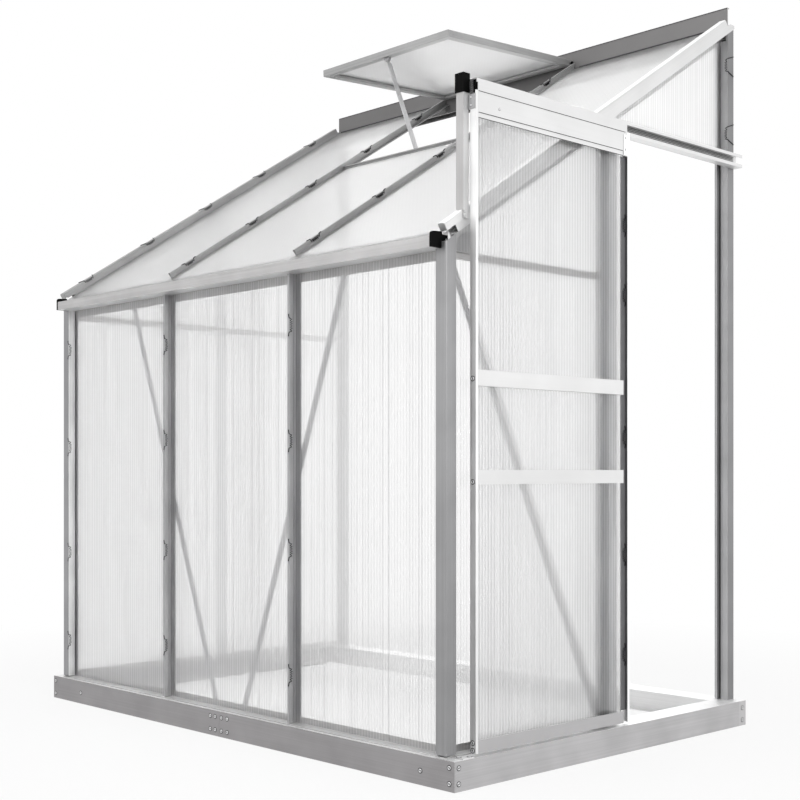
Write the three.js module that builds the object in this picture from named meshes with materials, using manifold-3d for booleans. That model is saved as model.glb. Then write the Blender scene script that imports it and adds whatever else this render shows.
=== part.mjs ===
import * as THREE from 'three';
import { mergeVertices } from 'three/addons/utils/BufferGeometryUtils.js';
import Module from 'manifold-3d';

// Lean to greenhouse with a sliding door and a roof vent, in millimetres.
// +X points to the door gable, +Y to the house wall, +Z up.
// The origin is on the ground, in the middle of the footprint with its gutter.
// The door and the vent are open, as they stand at rest.

const wasm = await Module();
wasm.setup();

// Driving sizes
const baseLength = 1930;
const baseDepth = 1292;
const baseHeight = 75;
const gutterReach = 22; // gutter front, ahead of the base
const frontLedge = 12.5; // base front to the front wall
const gableLedge = 41; // base end to the gable wall
const eavesHeight = 1399.3; // top line of the end rafters over the front wall
const wallHeight = 2207.9; // the same line carried back to the house wall
const studSpacing = 616; // middle bay, between the front studs
const studY = 30; // gable studs, from the middle of the footprint
const fit = 0.3; // gap between two pieces that touch
const overrun = 20; // how far a cutting tool stands past what it cuts
const farAway = 4000; // reach of a cutting tool that has no other end

// Base rails, folded from sheet
const baseWall = 2;
const baseFlange = 80;
const baseFoot = 40;
const frontTab = 23;
const rearTab = 35;
const seam = 1;
const spliceHalf = 50;

// Sheets and the bars that hold them
const sheetThick = 4;
const sheetSetback = 25; // outer plane of a wall to the face of its sheets
const barWidth = 9;
const barBead = 8;
const barStem = 4;
const clipLip = 7;
const clipLipThick = 2;
const clipGroove = 6;
const flangeThick = 2;
const flangeHalf = 20;
const jambReach = 30; // jamb flange, from the stud's middle to the doorway
const jambInner = 26;
const jambPlate = 3;

// Sills
const sillHeight = 22;
const sillLedge = 5;
const sillLip = 2;

// Corner posts
const postLeg = 36;
const postWall = 2;
const postCorner = 5;
const postInnerLeg = 50;
const postWebHalf = 0.8;

// Gutter
const gutterBottom = 1334;
const gutterFront = 27;
const gutterWall = 2;
const gutterLip = 7;
const gutterHang = 24;
const gutterSetback = 24; // gable wall to the end of the gutter
const capThick = 8;
const capDepth = 56.6;
const capFront = 39; // front corner, above the gutter's underside
const capRound = 7.5;
const capTop = 40.5;
const capTopDepth = 35;
const capShoulder = 32.8;
const capShoulderDepth = 38.4;

// Rafters, measured square to the roof from the end rafters' top line
const rafterDepth = 42.3;
const rafterBead = 21.1;
const rafterReach = 4; // bead, outside the gable wall
const rafterWidth = 22.5;
const rafterWall = 2;
const rafterLower = 1;
const rafterCorner = 6;
const rafterShelf = 45;
const rafterHang = 64;
const rafterNose = 12.2;
const rafterLowStart = 24; // lower half, behind the front wall
const rafterBeadEnd = 53; // bead end to the house wall
const roofDrop = 25.4; // top line to the top of the roof sheets
const midDrop = 8; // top line to the top of the two middle rafters
const midStart = 17.5;
const sheetNose = 13.1;

// Ridge beam
const ridgeRise = 13.1; // above the rafter line at the house wall
const ridgeReach = 26.5; // out from the house wall
const ridgeWall = 3;
const ridgeSetback = 7;
const ridgeUpstand = 53;
const ridgeSkirt = 96;
const ridgeFlange = 106;
const ridgeLip = 7;

// Roof vent, in its own frame: the hinge axis is its origin, the vent lies towards -Y
const ventTilt = THREE.MathUtils.degToRad(3);
const ventReach = 605;
const ventHalf = 300;
const ventRail = 24;
const ventThick = 22;
const ventGroove = 8;
const hingeDrop = 38; // hinge axis under the top of the ridge beam
const hingeBead = 3;
const hingeBore = 3.5;
const hingeShell = 5.5;
const hingeStart = 8;
const hingeWeb = 2;

// Trimmer under the vent's free edge, and its peg for the stay
const trimmerRun = 862;
const trimmerWidth = 12;
const trimmerTop = 18;
const trimmerLip = 8;
const trimmerLipThick = 2;
const pegRadius = 2;
const pegGap = 9.5; // trimmer to the middle of the peg
const pegDrop = 22;
const pegTab = 3;

// Stay
const stayTopX = 7;
const stayFootX = 38;
const stayRun = 588; // hinge axis to the stay's pin
const stayDrop = 16.2;
const stayWidth = 18;
const stayEye = 4.5; // radius of the narrow end at the pin
const stayNeck = 7.5;
const stayThick = 3;
const stayOverhang = 6;
const stayOffset = 2.6; // peg, ahead of the stay's middle line
const stayHoleRadius = 2.3;
const stayHoles = 4;
const stayPin = 2;
const earGap = 2.5;
const earThick = 2;
const earLength = 10;
const earDrop = 21;

// Braces and gable rails
const braceWidth = 22;
const braceThick = 2.5;
const braceFoot = 88;
const braceTop = 8; // below the gutter
const braceLeftTopX = -530;
const braceLeftFootX = -73;
const braceRightTopX = 516;
const braceRightFootX = 64;
const braceGableTop = 44; // behind the front wall
const braceGableFoot = 20; // ahead of the gable stud
const railHeight = 20;
const railWall = 2;
const railDoorTop = 1333;
const railDoorLip = 9;
const railFarTop = 1322;
const railFarLeg = 18;

// Door track, its header and its upright
const trackBottom = 1721.5;
const trackHeight = 39.2;
const trackDepth = 24.5;
const trackWall = 2;
const trackLowerLip = 10;
const trackUpperLip = 9.5;
const trackStart = 80; // behind the front wall
const headerUpstand = 19;
const headerWall = 2;
const strutWidth = 25;
const strutDepth = 19;
const strutWall = 2;
const strutGap = 6;
const strutLap = 22;
const strutTop = 11.5; // above the track's underside
const strutTabLength = 23.5;
const strutTabDrop = 36;
const strutTabShort = 2.5;
const strutTabTall = 33.5;
const capWall = 2;
const capSkirt = 7;
const capTall = 41;

// Sliding door
const doorWidth = 628;
const doorOverhang = 6.5; // past the track's free end, when open
const doorBottom = 81;
const doorDepth = 19;
const doorFace = 2.2; // door face, outside the track
const doorWall = 2;
const stileWidth = 9;
const stileRebate = 27; // rear stile, with the face that its rails end against
const doorHeadDrop = 59.5; // head's lower edge, under the track
const doorHeadStep = 13;
const doorHeadRelief = 0.8;
const doorHeadGroove = 8; // above the track's underside
const doorHeadTop = 30;
const doorHeadBack = 53.5;
const doorSheetTop = 31.5; // sheet's upper edge, under the track
const doorBottomRail = 33;
const doorBottomBack = 27;
const upperRailBottom = 995.5;
const upperRailTop = 1035.5;
const lowerRailBottom = 749.6;
const lowerRailTop = 786;
const rollerRadius = 16;
const rollerWidth = 12;
const rollerCrown = 1;
const rollerInset = 60;
const axleRadius = 3;
const axlePlay = 0.1;
const collarRadius = 5;
const collarWidth = 1.7;

// Places that follow from the sizes
const baseX = baseLength / 2;
const rearY = (baseDepth + gutterReach) / 2;
const baseFrontY = rearY - baseDepth;
const wallY = baseFrontY + frontLedge;
const gableX = baseX - gableLedge;
const studX = studSpacing / 2;
const sheetBack = sheetSetback + sheetThick;
const flangeFront = sheetBack + fit;
const flangeBack = flangeFront + flangeThick;
const sillBottom = baseHeight + fit;
const sillTop = sillBottom + sillHeight;
const footZ = sillBottom + sillLedge + fit;
const wallTop = gutterBottom - fit;
const flangeTop = gutterBottom - gutterHang - fit;
const gutterX = gableX - gutterSetback;
const capX = gutterX + fit + capThick;
const insideY = wallY + flangeBack + fit;
const shelfTop = roofDrop + sheetThick + fit;
const shelfBottom = shelfTop + flangeThick;
const beadInner = rafterWidth - rafterReach;
const ridgeTop = wallHeight + ridgeRise;
const ridgeX = gableX - ridgeSetback;
const ridgeFaceY = rearY - ridgeReach;
const hingeY = ridgeFaceY - hingeBore;
const hingeZ = ridgeTop - hingeDrop;
const trackTop = trackBottom + trackHeight;
const trackBackX = gableX + rafterReach + fit;
const trackFrontX = trackBackX + trackDepth;
const trackEndY = wallY + trackStart;
const doorX = trackFrontX + doorFace;
const doorBackX = doorX - doorDepth;
const doorY = trackEndY - doorOverhang;
const doorEndY = doorY + doorWidth;
const doorSheetX = doorBackX + doorWall + fit;
const rollerZ = trackBottom + trackWall + fit + rollerRadius;

// Roof line: lengths along the roof start over the front wall, drops are square to the roof
const roofAngle = Math.atan2(wallHeight - eavesHeight, rearY - wallY);
const roofCos = Math.cos(roofAngle);
const roofSin = Math.sin(roofAngle);

function roofZ(y, drop) {
  return eavesHeight + (y - wallY) * Math.tan(roofAngle) - drop / roofCos;
}

function roofRun(y, drop) {
  return (y - wallY - drop * roofSin) / roofCos;
}

function roofPoint(run, drop) {
  return [wallY + run * roofCos + drop * roofSin, eavesHeight + run * roofSin - drop * roofCos];
}

const gutterRearTop = roofZ(wallY + flangeFront, shelfBottom) - fit;

// Directions of extrusion: an outline is given across it, in [x or y, z] order
const unitX = new THREE.Vector3(1, 0, 0);
const unitY = new THREE.Vector3(0, 1, 0);
const unitZ = new THREE.Vector3(0, 0, 1);
const alongX = { turn: new THREE.Matrix4().makeBasis(unitY, unitZ, unitX), back: false };
const alongY = { turn: new THREE.Matrix4().makeBasis(unitX, unitZ, unitY.clone().negate()), back: true };
const alongZ = { turn: new THREE.Matrix4(), back: false };
const alongRoof = {
  turn: new THREE.Matrix4()
    .makeBasis(
      unitX,
      new THREE.Vector3(0, -roofSin, roofCos),
      new THREE.Vector3(0, -roofCos, -roofSin),
    )
    .setPosition(0, wallY, eavesHeight),
  back: true,
};

function solidOf(geometry) {
  geometry.deleteAttribute('normal');
  geometry.deleteAttribute('uv');
  const merged = mergeVertices(geometry);
  const mesh = new wasm.Mesh({
    numProp: 3,
    vertProperties: new Float32Array(merged.attributes.position.array),
    triVerts: new Uint32Array(merged.index.array),
  });
  return new wasm.Manifold(mesh);
}

function geometryOf(solid) {
  const mesh = solid.getMesh();
  const geometry = new THREE.BufferGeometry();
  geometry.setAttribute('position', new THREE.BufferAttribute(new Float32Array(mesh.vertProperties), 3));
  geometry.setIndex(new THREE.BufferAttribute(new Uint32Array(mesh.triVerts), 1));
  const facets = geometry.toNonIndexed();
  facets.computeVertexNormals();
  return facets;
}

function prism(outline, direction, from, to, holes = []) {
  const shape = new THREE.Shape(outline.map(([a, b]) => new THREE.Vector2(a, b)));
  shape.holes = holes.map((hole) => new THREE.Path(hole.map(([a, b]) => new THREE.Vector2(a, b))));
  const geometry = new THREE.ExtrudeGeometry(shape, { depth: to - from, bevelEnabled: false });
  geometry.translate(0, 0, direction.back ? -to : from);
  geometry.applyMatrix4(direction.turn);
  return solidOf(geometry);
}

function box([x0, x1], [y0, y1], [z0, z1]) {
  const geometry = new THREE.BoxGeometry(Math.abs(x1 - x0), Math.abs(y1 - y0), Math.abs(z1 - z0));
  geometry.translate((x0 + x1) / 2, (y0 + y1) / 2, (z0 + z1) / 2);
  return solidOf(geometry);
}

function rod(radius, x0, x1, y, z) {
  const geometry = new THREE.CylinderGeometry(radius, radius, x1 - x0, 16);
  geometry.rotateZ(Math.PI / 2);
  geometry.translate((x0 + x1) / 2, y, z);
  return solidOf(geometry);
}

function rectangle(a0, a1, b0, b1) {
  return [[a0, b0], [a1, b0], [a1, b1], [a0, b1]];
}

function arc(a, b, radius, from, to, steps) {
  return Array.from({ length: steps + 1 }, (_, step) => {
    const angle = from + ((to - from) * step) / steps;
    return [a + radius * Math.cos(angle), b + radius * Math.sin(angle)];
  });
}

// Base rails
const baseOutline = [
  [0, 0],
  [baseFoot, 0],
  [baseFoot, baseWall],
  [baseWall, baseWall],
  [baseWall, baseHeight - baseWall],
  [baseFlange, baseHeight - baseWall],
  [baseFlange, baseHeight],
  [0, baseHeight],
];
const baseRange = [-overrun, baseHeight + overrun];

function frontRail(x0, x1) {
  return prism(baseOutline.map(([a, z]) => [baseFrontY + a, z]), alongX, x0, x1);
}

function endRail(side, y0) {
  const outline = baseOutline.map(([a, z]) => [side * (baseX - a), z]);
  const rail = prism(outline, alongY, y0, rearY - rearTab - fit);
  const innerX = side * (baseX - baseWall);
  const rearCut = [rearY - baseFlange - fit, rearY];
  return rail.subtract(box([innerX, side * (baseX - baseFlange - overrun)], rearCut, baseRange));
}

function baseFrontLeft() {
  const rail = frontRail(-baseX + frontTab + fit, -seam / 2);
  const flangeCut = [-baseX, -baseX + baseFlange + fit];
  const inner = [baseFrontY + baseWall, baseFrontY + baseFlange + overrun];
  const plateY = baseFrontY + baseWall + fit;
  const plateZ = [baseWall + seam, baseHeight - baseWall - seam];
  const plate = box([-spliceHalf, spliceHalf], [plateY, plateY + baseWall], plateZ);
  const root = box([-spliceHalf, -seam / 2], [plateY - baseWall, plateY + baseWall], plateZ);
  return rail.subtract(box(flangeCut, inner, baseRange)).add(plate).add(root);
}

function baseFrontRight() {
  const inner = [baseFrontY + baseWall, baseFrontY + baseFlange + overrun];
  return frontRail(seam / 2, baseX).subtract(box([baseX - baseFlange - fit, baseX + overrun], inner, baseRange));
}

function baseEndFar() {
  const tabEnd = -baseX + frontTab;
  const tab = box([-baseX, tabEnd], [baseFrontY, baseFrontY + baseWall], [0, baseHeight]);
  const frontCut = [baseFrontY - overrun, baseFrontY + baseWall + fit];
  return endRail(-1, baseFrontY).add(tab).subtract(box([tabEnd, 0], frontCut, baseRange));
}

function baseEndDoor() {
  return endRail(1, baseFrontY + baseWall + fit);
}

function baseRear() {
  let rail = prism(baseOutline.map(([a, z]) => [rearY - a, z]), alongX, -baseX, baseX);
  for (const side of [-1, 1]) {
    const tabX = [side * baseX, side * (baseX - baseWall)];
    rail = rail.add(box(tabX, [rearY - rearTab, rearY], [0, baseHeight]));
    const wallCut = [rearY - baseFlange - overrun, rearY - rearTab];
    rail = rail.subtract(box([side * (baseX + overrun), side * (baseX - baseWall - fit)], wallCut, baseRange));
  }
  return rail;
}

// Sills
const sillOutline = [
  [0, sillBottom],
  [flangeBack, sillBottom],
  [flangeBack, sillTop],
  [flangeFront, sillTop],
  [flangeFront, sillBottom + sillLedge],
  [sheetSetback, sillBottom + sillLedge],
  [0, sillBottom + sillLip],
];
const upstandRange = [sillBottom + sillLedge, sillTop + overrun];

function sillFront() {
  let sill = prism(sillOutline.map(([a, z]) => [wallY + a, z]), alongX, -gableX, gableX);
  for (const side of [-1, 1]) {
    const corner = [side * (gableX + overrun), side * (gableX - postInnerLeg - fit)];
    sill = sill.subtract(box(corner, [wallY - overrun, wallY + flangeBack + overrun], upstandRange));
  }
  return sill;
}

function gableSill(side, y1) {
  const outline = sillOutline.map(([a, z]) => [side * (gableX - a), z]);
  const sill = prism(outline, alongY, insideY, y1);
  const across = [side * (gableX + overrun), side * (gableX - flangeBack - overrun)];
  return sill.subtract(box(across, [wallY, wallY + postInnerLeg + fit], upstandRange));
}

function sillDoorEnd() {
  return gableSill(1, studY + jambReach);
}

function sillFarEnd() {
  const across = [-gableX - overrun, -gableX + flangeBack + overrun];
  const corner = box(across, [rearY - postInnerLeg - fit, rearY + overrun], upstandRange);
  return gableSill(-1, rearY).subtract(corner);
}

// Corner posts: outlines run inwards from the outer corner
const postReturn = sheetSetback - fit;
const postShell = [
  [postLeg, postReturn],
  [postLeg, 0],
  ...arc(postCorner, postCorner, postCorner, -Math.PI / 2, -Math.PI, 4),
  [0, postLeg],
  [postReturn, postLeg],
  [postReturn, postLeg - postWall],
  [postWall, postLeg - postWall],
  ...arc(postCorner, postCorner, postCorner - postWall, Math.PI, Math.PI * 1.5, 4),
  [postLeg - postWall, postWall],
  [postLeg - postWall, postReturn],
];
const postSeat = [
  [flangeFront, flangeFront],
  [postInnerLeg, flangeFront],
  [postInnerLeg, flangeBack],
  [flangeBack, flangeBack],
  [flangeBack, postInnerLeg],
  [flangeFront, postInnerLeg],
];
const webStart = postCorner - (postCorner - postWall / 2) * Math.SQRT1_2;
const webEnd = (flangeFront + flangeBack) / 2;
const postWeb = [
  [webStart - postWebHalf, webStart + postWebHalf],
  [webStart + postWebHalf, webStart - postWebHalf],
  [webEnd + postWebHalf, webEnd - postWebHalf],
  [webEnd - postWebHalf, webEnd + postWebHalf],
];

function postBody(side, cornerY, inward, z0) {
  const place = ([a, b]) => [side * (gableX - a), cornerY + inward * b];
  const [shell, seat, web] = [postShell, postSeat, postWeb].map((outline) =>
    prism(outline.map(place), alongZ, z0, ridgeTop),
  );
  return shell.add(seat).add(web);
}

// Everything above a plane that lies a drop under the roof line
function aboveRoof(x0, x1, drop) {
  return prism(rectangle(Math.min(x0, x1), Math.max(x0, x1), -drop, farAway), alongRoof, -farAway, farAway);
}

function postFront(side) {
  const gutterCut = box(
    [side * (capX + fit), side * (gableX - postInnerLeg - overrun)],
    [wallY - overrun, wallY + postInnerLeg + overrun],
    [wallTop, farAway],
  );
  const hangCut = box(
    [side * (gutterX + fit), side * (gableX - postInnerLeg - overrun)],
    [wallY + sheetBack, insideY],
    [flangeTop, farAway],
  );
  return postBody(side, wallY, 1, footZ)
    .subtract(aboveRoof(-baseX, baseX, rafterDepth + fit))
    .subtract(gutterCut)
    .subtract(hangCut);
}

function postRear(side, z0) {
  const hangX = side * (gableX - sheetSetback);
  const ridgeCut = box(
    [side * (ridgeX + fit), side * (gableX - postInnerLeg - overrun)],
    [rearY - postInnerLeg - overrun, rearY + overrun],
    [ridgeTop - ridgeFlange - fit, farAway],
  );
  return postBody(side, rearY, -1, z0)
    .subtract(aboveRoof(-baseX, baseX, rafterDepth + fit))
    .subtract(aboveRoof(hangX, 0, rafterHang + fit))
    .subtract(ridgeCut);
}

// Glazing bars: outlines are [across, depth inwards]
function barOutline(depth, flangeLow, flangeHigh) {
  const back = depth + sheetThick + fit;
  const lipBack = depth - clipGroove;
  const half = [
    [barWidth / 2, 0],
    [barWidth / 2, barBead],
    [barStem / 2, barBead],
    [barStem / 2, lipBack - clipLipThick],
    [clipLip / 2, lipBack - clipLipThick],
    [clipLip / 2, lipBack],
    [barStem / 2, lipBack],
    [barStem / 2, back],
  ];
  const mirrored = half.map(([a, d]) => [-a, d]).reverse();
  return [
    ...half,
    [flangeHigh, back],
    [flangeHigh, back + flangeThick],
    [flangeLow, back + flangeThick],
    [flangeLow, back],
    ...mirrored,
  ];
}

function studFront(x) {
  const outline = barOutline(sheetSetback, -flangeHalf, flangeHalf).map(([a, d]) => [x + a, wallY + d]);
  const across = [x - flangeHalf - overrun, x + flangeHalf + overrun];
  const behind = [wallY + sheetBack, wallY + flangeBack + overrun];
  return prism(outline, alongZ, footZ, wallTop)
    .subtract(box(across, behind, [0, sillTop + fit]))
    .subtract(box(across, behind, [flangeTop, farAway]));
}

function gableBar(side, flangeLow, flangeHigh, extra) {
  const place = ([a, d]) => [side * (gableX - d), studY + a];
  const outline = barOutline(sheetSetback, flangeLow, flangeHigh).map(place);
  let bar = prism(outline, alongZ, footZ, ridgeTop);
  for (const piece of extra) {
    bar = bar.add(prism(piece.map(place), alongZ, footZ, ridgeTop));
  }
  const behind = [side * (gableX - sheetBack), side * (gableX - flangeBack - overrun)];
  const along = [studY - jambReach - overrun, studY + jambReach + overrun];
  return bar
    .subtract(box(behind, along, [0, sillTop + fit]))
    .subtract(aboveRoof(-baseX, baseX, rafterDepth + fit))
    .subtract(aboveRoof(side * (gableX - sheetBack), 0, rafterHang + fit));
}

function jambStud() {
  const plate = rectangle(0, jambReach, 0, jambPlate);
  return gableBar(1, -jambInner, jambReach, [plate]);
}

// Gutter and its caps
function gutterBody() {
  const front = -rearY;
  const top = gutterBottom + gutterFront;
  const rearIn = wallY + flangeFront;
  const rearOut = wallY + flangeBack;
  const outline = [
    [front, gutterBottom],
    [front, top],
    [front + gutterLip, top],
    [front + gutterLip, top - gutterWall],
    [front + gutterWall, top - gutterWall],
    [front + gutterWall, gutterBottom + gutterWall],
    [rearIn, gutterBottom + gutterWall],
    [rearIn, gutterRearTop],
    [rearOut, gutterRearTop],
    [rearOut, gutterBottom - gutterHang],
    [rearIn, gutterBottom - gutterHang],
    [rearIn, gutterBottom],
  ];
  return prism(outline, alongX, -gutterX, gutterX);
}

function gutterCap(side) {
  const outline = [
    [0, 0],
    [capDepth, 0],
    [capDepth, capShoulder],
    [capShoulderDepth, capShoulder],
    [capTopDepth, capTop],
    ...arc(capRound, capFront - capRound, capRound, Math.PI / 2, Math.PI, 5),
  ].map(([y, z]) => [y - rearY, gutterBottom + z]);
  const [x0, x1] = side > 0 ? [gutterX + fit, capX] : [-capX, -gutterX - fit];
  return prism(outline, alongX, x0, x1);
}

// End rafters: outlines are [inwards from the gable wall, drop from the top line]
const rafterOutline = [
  [-rafterReach, rafterBead],
  ...arc(rafterCorner - rafterReach, rafterCorner, rafterCorner, Math.PI, Math.PI * 1.5, 5),
  [beadInner, 0],
  [beadInner, shelfTop],
  [rafterShelf, shelfTop],
  [rafterShelf, shelfBottom],
  [flangeBack, shelfBottom],
  [flangeBack, rafterHang],
  [flangeFront, rafterHang],
  [flangeFront, shelfBottom],
  [beadInner - rafterWall, shelfBottom],
  [beadInner - rafterWall, rafterWall],
  ...arc(rafterCorner - rafterReach, rafterCorner, rafterCorner - rafterWall, Math.PI * 1.5, Math.PI, 5),
  [rafterWall - rafterReach, rafterBead - rafterWall],
  [rafterLower, rafterBead - rafterWall],
  [rafterLower, rafterDepth - rafterWall],
  [sheetSetback - fit, rafterDepth - rafterWall],
  [sheetSetback - fit, rafterDepth],
  [-rafterLower, rafterDepth],
  [-rafterLower, rafterBead],
];

function rafterEnd(side) {
  const wholeRun = roofRun(rearY, 0);
  const outline = rafterOutline.map(([a, drop]) => [side * (gableX - a), -drop]);
  const beadEnd = roofRun(rearY - rafterBeadEnd, 0);
  const [x0, x1] = [gableX - rafterShelf - overrun, gableX + rafterReach + overrun].map((x) => side * x);
  const bead = rectangle(Math.min(x0, x1), Math.max(x0, x1), -rafterBead, overrun);
  const inner = [x0, side * (gableX - rafterLower)];
  const low = rectangle(Math.min(x0, x1), Math.max(x0, x1), -farAway, -rafterBead);
  return prism(outline, alongRoof, -rafterNose, wholeRun + overrun)
    .subtract(prism(low, alongRoof, -rafterNose - overrun, rafterLowStart))
    .subtract(prism(bead, alongRoof, beadEnd, wholeRun + overrun + overrun))
    .subtract(box(inner, [ridgeFaceY - fit, farAway], [0, farAway]))
    .subtract(box([x0, x1], [rearY, farAway], [0, farAway]))
    .subtract(box([x0, x1], [ridgeFaceY, farAway], [ridgeTop - ridgeUpstand, farAway]))
    .subtract(box([x0, side * (capX + fit)], [-farAway, insideY], [0, gutterRearTop + fit]));
}

function rafterMiddle(x) {
  const flange = flangeHalf + overrun;
  const outline = barOutline(roofDrop - midDrop, -flangeHalf, flangeHalf);
  const ribCut = rectangle(x - flange, x + flange, -shelfTop, overrun);
  return prism(outline.map(([a, d]) => [x + a, -midDrop - d]), alongRoof, 0, roofRun(rearY, 0) + overrun)
    .subtract(prism(ribCut, alongRoof, -overrun, midStart))
    .subtract(box([x - flange, x + flange], [ridgeFaceY - fit, farAway], [0, farAway]));
}

// Ridge beam with the channel that the vent's bead turns in
function ridgeBeam() {
  const shelf = ridgeTop - ridgeUpstand;
  const outline = [
    [ridgeFaceY, ridgeTop - ridgeSkirt],
    [ridgeFaceY, ridgeTop],
    [ridgeFaceY + ridgeWall + ridgeLip, ridgeTop],
    [ridgeFaceY + ridgeWall + ridgeLip, ridgeTop - ridgeWall],
    [ridgeFaceY + ridgeWall, ridgeTop - ridgeWall],
    [ridgeFaceY + ridgeWall, shelf],
    [rearY, shelf],
    [rearY, ridgeTop - ridgeFlange],
    [rearY - ridgeWall, ridgeTop - ridgeFlange],
    [rearY - ridgeWall, shelf - ridgeWall],
    [ridgeFaceY + ridgeWall, shelf - ridgeWall],
    [ridgeFaceY + ridgeWall, ridgeTop - ridgeSkirt],
  ];
  const room = Math.asin((hingeWeb / 2 + fit * 2) / hingeBore);
  const from = Math.PI + roofAngle + room;
  const to = Math.PI * 3 + ventTilt - room;
  const channel = [
    ...arc(hingeY, hingeZ, hingeShell, from, to, 16),
    ...arc(hingeY, hingeZ, hingeBore, to, from, 16),
  ];
  return prism(outline, alongX, -ridgeX, ridgeX).add(prism(channel, alongX, -ventHalf, ventHalf));
}

// Trimmer across the two middle rafters, with the peg that the stay hooks on
function ventTrimmer() {
  const end = trimmerRun + trimmerWidth;
  const outline = [
    [trimmerRun - trimmerLip, roofDrop - fit],
    [trimmerRun - trimmerLip, roofDrop - fit - trimmerLipThick],
    [trimmerRun, roofDrop - fit - trimmerLipThick],
    [trimmerRun, trimmerTop],
    [end, trimmerTop],
    [end, roofDrop + sheetThick],
    [trimmerRun, roofDrop + sheetThick],
    [trimmerRun, roofDrop - fit],
  ].map(([run, drop]) => roofPoint(run, drop));
  const reach = pegGap + pegRadius;
  const tab = [
    [end - 1, pegDrop - reach / 2],
    [end + reach, pegDrop - pegRadius],
    [end + reach, pegDrop + pegRadius],
    [end - 1, pegDrop + reach / 2],
  ].map(([run, drop]) => roofPoint(run, drop));
  const half = studX - clipLip / 2 - fit;
  const tabX = stayFootX + stayThick;
  const peg = rod(pegRadius, stayFootX - stayThick - pegTab / 2, tabX + pegTab, ...roofPoint(end + pegGap, pegDrop));
  return prism(outline, alongX, -half, half).add(prism(tab, alongX, tabX, tabX + pegTab)).add(peg);
}

// Braces and gable rails
function braceFront(topX, footX) {
  const half = braceWidth / 2;
  const top = wallTop - braceTop;
  const outline = [
    [footX - half, braceFoot],
    [footX + half, braceFoot],
    [topX + half, top],
    [topX - half, top],
  ];
  return prism(outline, alongY, insideY, insideY + braceThick);
}

function braceDoorEnd() {
  const half = braceWidth / 2;
  const top = wallTop - braceTop;
  const topY = wallY + braceGableTop;
  const footY = studY - braceGableFoot;
  const outline = [
    [footY - half, braceFoot],
    [footY + half, braceFoot],
    [topY + half, top],
    [topY - half, top],
  ];
  const x1 = gableX - flangeBack - fit;
  return prism(outline, alongX, x1 - braceThick, x1);
}

function railDoorEnd() {
  const x0 = gableX - sheetSetback + fit;
  const bottom = railDoorTop - railHeight;
  const outline = [
    [x0, bottom],
    [x0 + railDoorLip, bottom],
    [x0 + railDoorLip, bottom + railWall],
    [x0 + railWall, bottom + railWall],
    [x0 + railWall, railDoorTop - railWall],
    [x0 + railDoorLip, railDoorTop - railWall],
    [x0 + railDoorLip, railDoorTop],
    [x0, railDoorTop],
  ];
  return prism(outline, alongY, wallY + postLeg + fit, studY - barWidth / 2 - fit);
}

function railFarEnd() {
  const x0 = flangeBack + fit - gableX;
  const bottom = railFarTop - railHeight;
  const outline = [
    [x0, bottom],
    [x0 + railWall, bottom],
    [x0 + railWall, railFarTop - railWall],
    [x0 + railFarLeg, railFarTop - railWall],
    [x0 + railFarLeg, railFarTop],
    [x0, railFarTop],
  ];
  return prism(outline, alongY, insideY, rearY - flangeBack - fit);
}

// Header over the doorway, track and its upright
const jambEndY = studY + jambReach;
const overDoorFoot = trackTop + fit * 2;

function doorHeader() {
  const x1 = trackBackX - fit;
  const ledge = overDoorFoot - fit;
  const web = rectangle(gableX + fit, x1, trackBottom, ledge);
  const seat = [
    [x1 - headerWall, ledge - headerWall],
    [x1, ledge - headerWall],
    [x1, ledge],
    [gableX - flangeFront, ledge],
    [gableX - flangeFront, ledge + headerUpstand],
    [gableX - flangeBack, ledge + headerUpstand],
    [gableX - flangeBack, ledge - headerWall],
  ];
  const underRafter = prism(seat, alongY, jambEndY + fit, rearY - postInnerLeg - fit).subtract(
    aboveRoof(0, gableX - sheetSetback, rafterHang + fit),
  );
  const overhang = aboveRoof(gableX - sheetSetback, x1 + overrun, rafterDepth + fit);
  return prism(web, alongY, studY + barWidth / 2, rearY).add(underRafter).subtract(overhang);
}

function doorTrack() {
  const back = trackBackX;
  const front = trackFrontX;
  const outline = [
    [back, trackBottom],
    [front, trackBottom],
    [front, trackBottom + trackLowerLip],
    [front - trackWall, trackBottom + trackLowerLip],
    [front - trackWall, trackBottom + trackWall],
    [back + trackWall, trackBottom + trackWall],
    [back + trackWall, trackTop - trackWall],
    [front - trackWall, trackTop - trackWall],
    [front - trackWall, trackTop - trackUpperLip],
    [front, trackTop - trackUpperLip],
    [front, trackTop],
    [back, trackTop],
  ];
  return prism(outline, alongY, trackEndY, rearY);
}

const strutX1 = trackBackX + strutWall;
const strutX0 = strutX1 - strutWidth;
const strutY1 = trackEndY - strutGap;
const strutY0 = strutY1 - strutDepth;
const strutZ1 = trackBottom + strutTop;

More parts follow.
